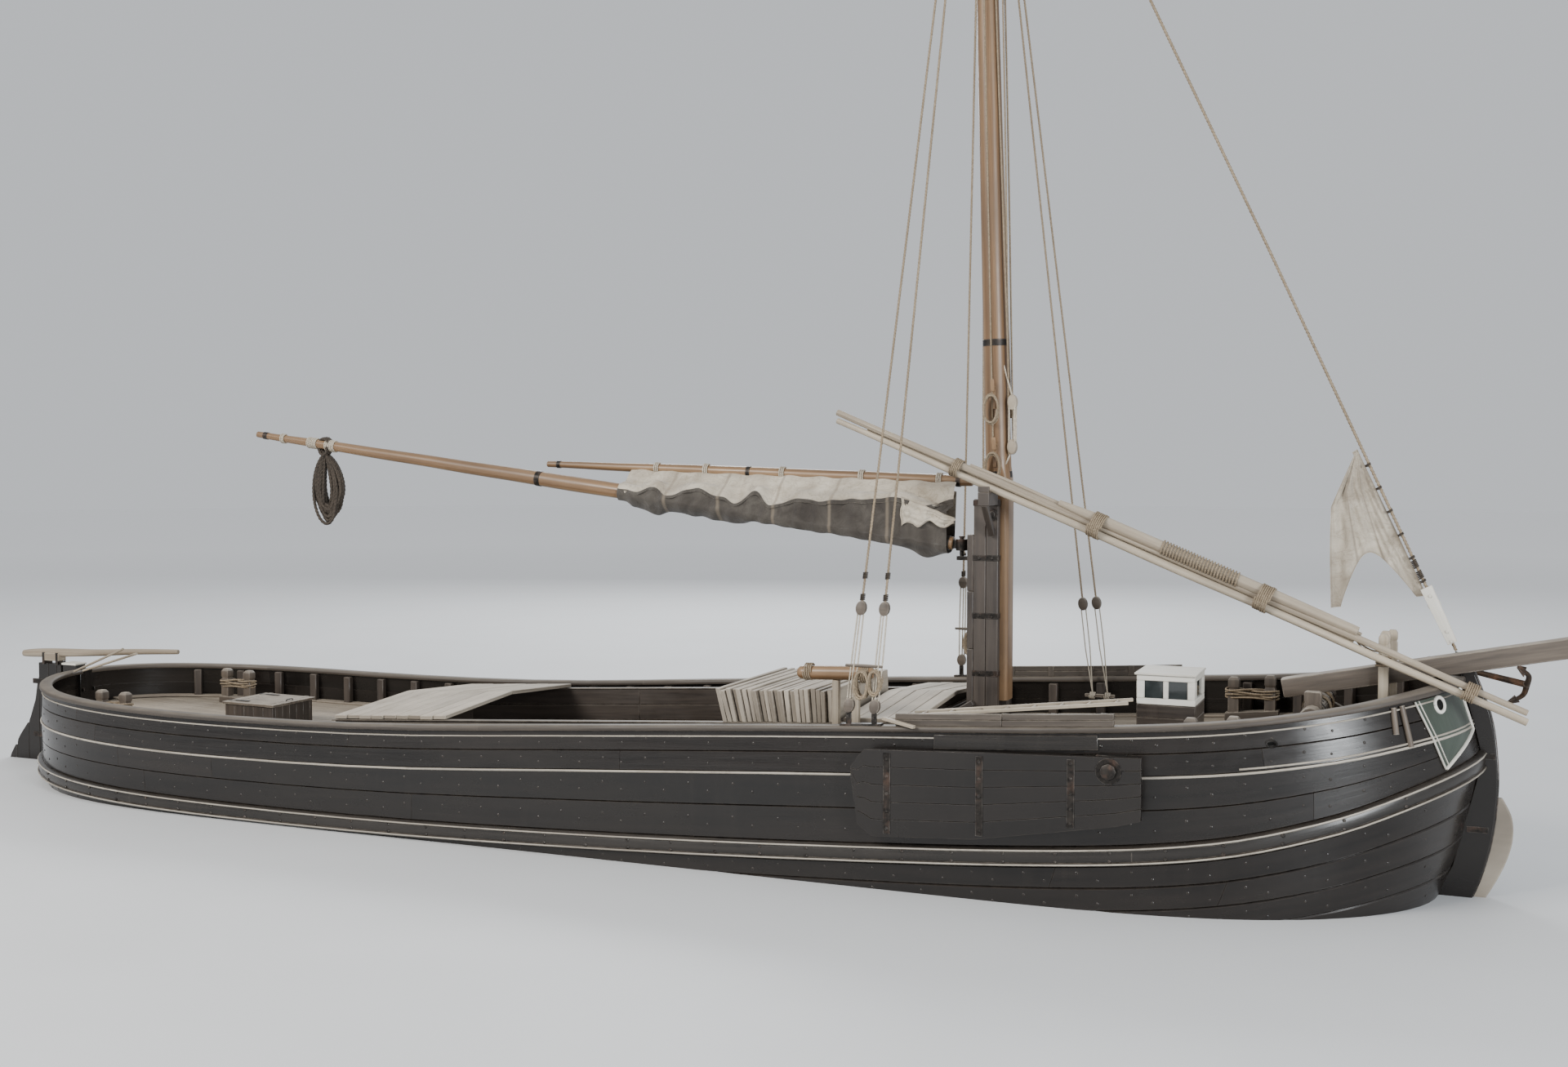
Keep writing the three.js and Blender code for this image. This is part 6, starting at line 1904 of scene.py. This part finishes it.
lid.piece("companionLidBoards", "fittingOak", "companion_lid", slotName="deck", bevel=0.003,
    node="companion_lid")
lidIron = Joinery(155)
for y in (-0.28, 0.28):
    lidIron.box((-5.915, y - 0.025, deckZ(-5.7) + 0.3355), (-5.60, y + 0.025, deckZ(-5.7) + 0.339))
lidIron.round(curvePath([(-5.20, -0.06, 1.995), (-5.20, -0.05, 2.02), (-5.20, 0.05, 2.02),
    (-5.20, 0.06, 1.995)], 12), 0.007, 8)
lidIron.piece("companionLidIron", "tarredIron", "companion_lid")

for name, s in sides:
    wash = Joinery(156 + s)
    y0, y1 = sorted((s * 1.88, s * 1.925))
    for a, b in ((3.56, 4.60), (4.604, 5.64)):
        for low, high in ((0.057, 0.115), (0.118, 0.172)):
            wash.loft([slab(x, y0, y1, railZ(x) + low, railZ(x) + high)
                for x in [a + (b - a) * i / 6 for i in range(7)]])
    for k in range(5):
        x = 3.70 + k * 0.46
        wash.box((x - 0.03, s * 1.8775 - 0.012, railZ(x) + 0.058),
            (x + 0.03, s * 1.8775 + 0.012, railZ(x) + 0.174), 2)
    wash.piece("washBoards_" + name, "railOak", bevel=0.004, node="wash_board_" + name)

gear = Joinery(161)
ladderFoot, ladderHead = Vector((3.60, -1.70, 2.60)), Vector((5.60, -1.03, 2.745))
ladderWide = Vector((0, 0.25, 0))
for a, b, w, d in (((3.44, -1.93, 2.60), (3.78, -2.02, 2.55), 0.05, 0.03),
        (ladderFoot, ladderHead, 0.026, 0.034), (ladderFoot + ladderWide, ladderHead + ladderWide, 0.026,
        0.034)):
    gear.beam(a, b, w, d)
for k in range(8):
    t = 0.06 + k * 0.125
    p = ladderFoot.lerp(ladderHead, t)
    gear.round([p, p + ladderWide], 0.012, 8)
gear.box((3.57, -1.72, 2.558), (3.63, -1.40, 2.582), 1)
gear.box((3.57, -1.70, deckZ(3.6)), (3.63, -1.64, 2.558), 2)
gear.box((3.57, -1.48, deckZ(3.6)), (3.63, -1.42, 2.558), 2)
gear.piece("stowedLadder", "paleSpar", slotName="white_paint", bevel=0.004)

log = Joinery(162)
path = [(2.38 + 0.8 * t, -1.48, 2.935 + 0.03 * t) for t in (0, 0.03, 0.08, 0.3, 0.5, 0.7, 0.92, 0.97, 1)]
log.round(path, [0.038, 0.062, 0.070, 0.0715, 0.072, 0.0715, 0.070, 0.060, 0.046], 18)
log.piece("fenderLogRound", "oiledSpar", bevel=0.003, node="fender_log")
stanchions = Joinery(163)
for x in (2.79, 3.0):
    stanchions.box((x - 0.034, -1.514, deckZ(x) + 0.002), (x + 0.034, -1.446, 2.878), 2)
stanchions.box((2.73, -1.525, deckZ(2.9) + 0.001), (3.06, -1.435, deckZ(2.9) + 0.045), 0)
stanchions.piece("fenderStanchions", "paleSpar", slotName="fittings", bevel=0.005)
ropes("fenderLashings", [coilPath((x, -1.48, 2.95), (1, 0, 0.04), 0.080, 4, 0.021, 0, 0.01, 5)
    for x in (2.5, 3.1)], 0.009, "hempRope")

fluke = Joinery(164)
fluke.round([(8.25, 0.95, 3.0514), (8.6, 0.778, 2.995), (9.12, 0.52, 2.9114)], [0.024, 0.028, 0.034], 10)
fluke.round([(8.33, 1.18, 3.0614), (8.30, 0.925, 3.044), (8.27, 0.67, 3.0264)], [0.016, 0.022, 0.016], 10)
for end, mid in (((9.03, 0.30, 3.101), (9.12, 0.39, 3.015)), ((8.96, 0.62, 2.721), (9.08, 0.60, 2.80))):
    path = curvePath([(9.11, 0.525, 2.9134), mid, end], 10)
    fluke.round(path, [0.032 - 0.0014 * i for i in range(11)], 10)
    tip, back = path[-1], path[-4]
    along = (tip - back).normalized()
    side = Vector((0.86, -0.5, 0.1)).cross(along).normalized()
    fluke.beam(back, tip + along * 0.02, 0.11, 0.014, 0.03, 0.010, side=side)
ring = [(8.235 + 0.045 * cos(a), 0.957, 3.045 + 0.045 * sin(a)) for a in (0.4 * k for k in range(17))]
fluke.round(ring, 0.009, 8, caps=False)
fluke.piece("anchorIron", "rustIron", bevel=0.002, node="anchor")

print("spar bundle")


def onBundle(t, lift=0.0, side=0.0):
    return Vector((2.37 + 6.71 * t, -0.36 - 0.43 * t + side, 5.48 - 2.742 * t + lift))


bundle = Joinery(171)
for lift, side, start, end, r0, r1 in ((0.0, 0.0, 0, 1, 0.030, 0.034), (0.09, 0.004, 0, 1, 0.034, 0.028),
        (0.050, 0.058, 0.05, 0.78, 0.026, 0.022), (0.135, 0.045, 0.22, 0.79, 0.020, 0.018)):
    path = [onBundle(start + (end - start) * i / 30, lift + 0.004 * sin(i * 0.7 + lift * 40), side)
        for i in range(31)]
    bundle.round(path, [r0 + (r1 - r0) * i / 30 + 0.008 * sin(pi * i / 30) for i in range(31)], 12)
bundle.piece("bundlePoles", "paleSpar", bevel=0.003, node="spar_bundle")
spare = Joinery(172)
start, end = Vector((4.8, -0.525, 4.64)), Vector((7.64, -0.69, 3.48))
spare.round(between(start, end, 20), [0.030 + 0.03 * min(i / 3, 1) - 0.012 * max(i - 14, 0) / 6
    for i in range(21)], 18)
spare.piece("spareSpar", "paleSpar", bevel=0.003)
wound = []
for i in range(26 * 20 + 1):
    t = i / 20
    p = start.lerp(end, 0.36 + 0.26 * t / 26)
    angle = 2 * pi * t
    side = Vector((0, 1, 0))
    up = (end - start).normalized().cross(side).normalized()
    wound.append(p + (side * cos(angle) + up * sin(angle)) * 0.069)
lines = [wound]
for t, r, turns in ((0.20, 0.092, 5), (0.42, 0.125, 7), (0.66, 0.125, 7), (0.93, 0.083, 6)):
    side = 0.02 if turns == 5 else 0.0
    lines.append(coilPath(onBundle(t, 0.09 if turns == 7 else 0.05, side), onBundle(1) - onBundle(0), r,
        turns, 0.019, 0, 0.03, turns))
for sag, shift in ((0.20, 0.0), (0.34, 0.03)):
    lines.append(sagPath((7.60, -0.70 + shift, 3.44), (7.90, -0.50 + shift, 3.30), sag * 0.3, 12))
ropes("bundleLashings", lines, 0.009, "hempRope")

print("bow and stern details")


def onHull(w, v, s, out=0.0):
    return onSide(hullPoint(w, v) + hullNormal(w, v) * out, s)


def hullLine(wa, va, wb, vb, s, out, count):
    return [onHull(wa + (wb - wa) * i / count, va + (vb - va) * i / count, s, out) for i in range(count + 1)]


for name, s in sides:
    # painted V at the bow, its border strips and the hawse ring; the hawse openings are near-black discs of
    # painted shade
    panel = Joinery(181 + s)
    rows = 14
    rings = []
    for i in range(rows + 1):
        t = i / rows
        ring = []
        for out in (0.0020, 0.0065):
            cells = []
            for j in range(9):
                u = j / 8
                left = (0.8742 + (0.9000 - 0.8742) * t, 5.94 - (5.94 - 4.10) * t)
                right = (0.975 + (0.9825 - 0.975) * min(t / 0.5, 1) - (0.9825 - 0.9000)
                    * max(t - 0.5, 0) / 0.5, 5.94 - (5.94 - 4.892) * min(t / 0.5, 1) - (4.892 - 4.10)
                    * max(t - 0.5, 0) / 0.5)
                cells.append(onHull(left[0] + (right[0] - left[0]) * u, left[1] + (right[1] - left[1]) * u,
                    s, out))
            ring += cells if out < 0.003 else cells[::-1]
        rings.append(ring)
    panel.loft(rings)
    panel.piece("bowPanel_" + name, "sagePaint")
    strips = Joinery(183 + s)
    border = [((0.8742, 5.94), (0.9000, 4.10), 0.016), ((0.8800, 5.94), (0.9050, 4.20), 0.011),
        ((0.9825, 4.892), (0.9000, 4.10), 0.022), ((0.975, 5.94), (0.9825, 4.892), 0.018)]
    for (wa, va), (wb, vb), wide in border:
        strips.round(hullLine(wa, va, wb, vb, s, 0.007, 16), wide, 8, flatten=0.6)
    chocks = Joinery(182 + s)
    for wa, va, wb, vb in ((0.8433, 5.93, 0.8391, 5.33), (0.8545, 5.93, 0.8536, 4.98)):
        chocks.round(hullLine(wa, va, wb, vb, s, 0.010, 6), 0.026, 8)
    chocks.piece("bowChocks_" + name, "fittingOak", smooth=60)
    centre, n = onHull(0.9129, 5.737, s, 0.006), hullNormal(0.9129, 5.737)
    n = onSide(n, s)
    side = n.cross(Vector((0, 0, 1))).normalized()
    up = n.cross(side)
    ring = [centre + (side * cos(a) + up * sin(a)) * 0.068 for a in around(24, 0, 1)]
    strips.round(ring, 0.018, 10, caps=False)
    ringTwo = [onHull(0.7095, 5.574, s, 0.004) + Vector((0.05 * cos(a), 0, 0.03 * sin(a)))
        for a in around(24, 0, 1)]
    strips.piece("bowMouldings_" + name, "cabinPaint", smooth=60)
    # painted shade: near-black discs and a ring on the hull stand in for the dark insides of the hawse holes
    hole = Joinery(185 + s)
    hole.round(ringTwo, 0.010, 8, caps=False)
    hole.round([centre - n * 0.004, centre + n * 0.004], 0.058, 20)
    p = onHull(0.7095, 5.574, s, 0.0)
    m = hullNormal(0.7095, 5.574)
    m = onSide(m, s)
    hole.round([p - m * 0.003, p + m * 0.003], 0.036, 16, flatten=0.7)
    hole.piece("hawseHoleShades_" + name, "paintedHoleShade")

    # blank name board along the bulwark
    nameBoard = Joinery(187 + s)
    rings = []
    for i in range(13):
        x = 3.95 + 1.55 * i / 12
        w = findW(x, 5.7)
        rings.append([onHull(w, v, s, out) for v, out in ((5.60, 0.003), (5.60, 0.018), (5.95, 0.018),
            (5.95, 0.003))])
    nameBoard.loft(rings)
    nameBoard.piece("blankBoard_" + name, "waleOak", slotName="rail", bevel=0.006, steps=2)

# white crescents on the ends of the wale at the stern
crescent = Joinery(191)
for s in (-1, 1):
    rings = []
    for i in range(15):
        t = i / 14
        w = -0.985 + 0.045 * t
        swell = sin(pi * min(t * 1.1, 1)) ** 0.7 * 0.5 + 0.08
        rings.append([onHull(w, v, s, out) for v, out in ((3.5 - swell, 0.061), (3.5 - swell, 0.068),
            (3.5 + swell, 0.068), (3.5 + swell, 0.061))])
    crescent.loft(rings)
crescent.piece("sternCrescents", "cabinPaint", bevel=0.002)
poles = Joinery(192)
for a, b in (((-8.55, -0.25, 2.235), (-7.4, -0.55, 2.62)), ((-8.50, -0.15, 2.235), (-7.3, -0.42, 2.55))):
    poles.round(between(Vector(a), Vector(b), 6), 0.016, 8)
poles.piece("sternPoles", "paleSpar")
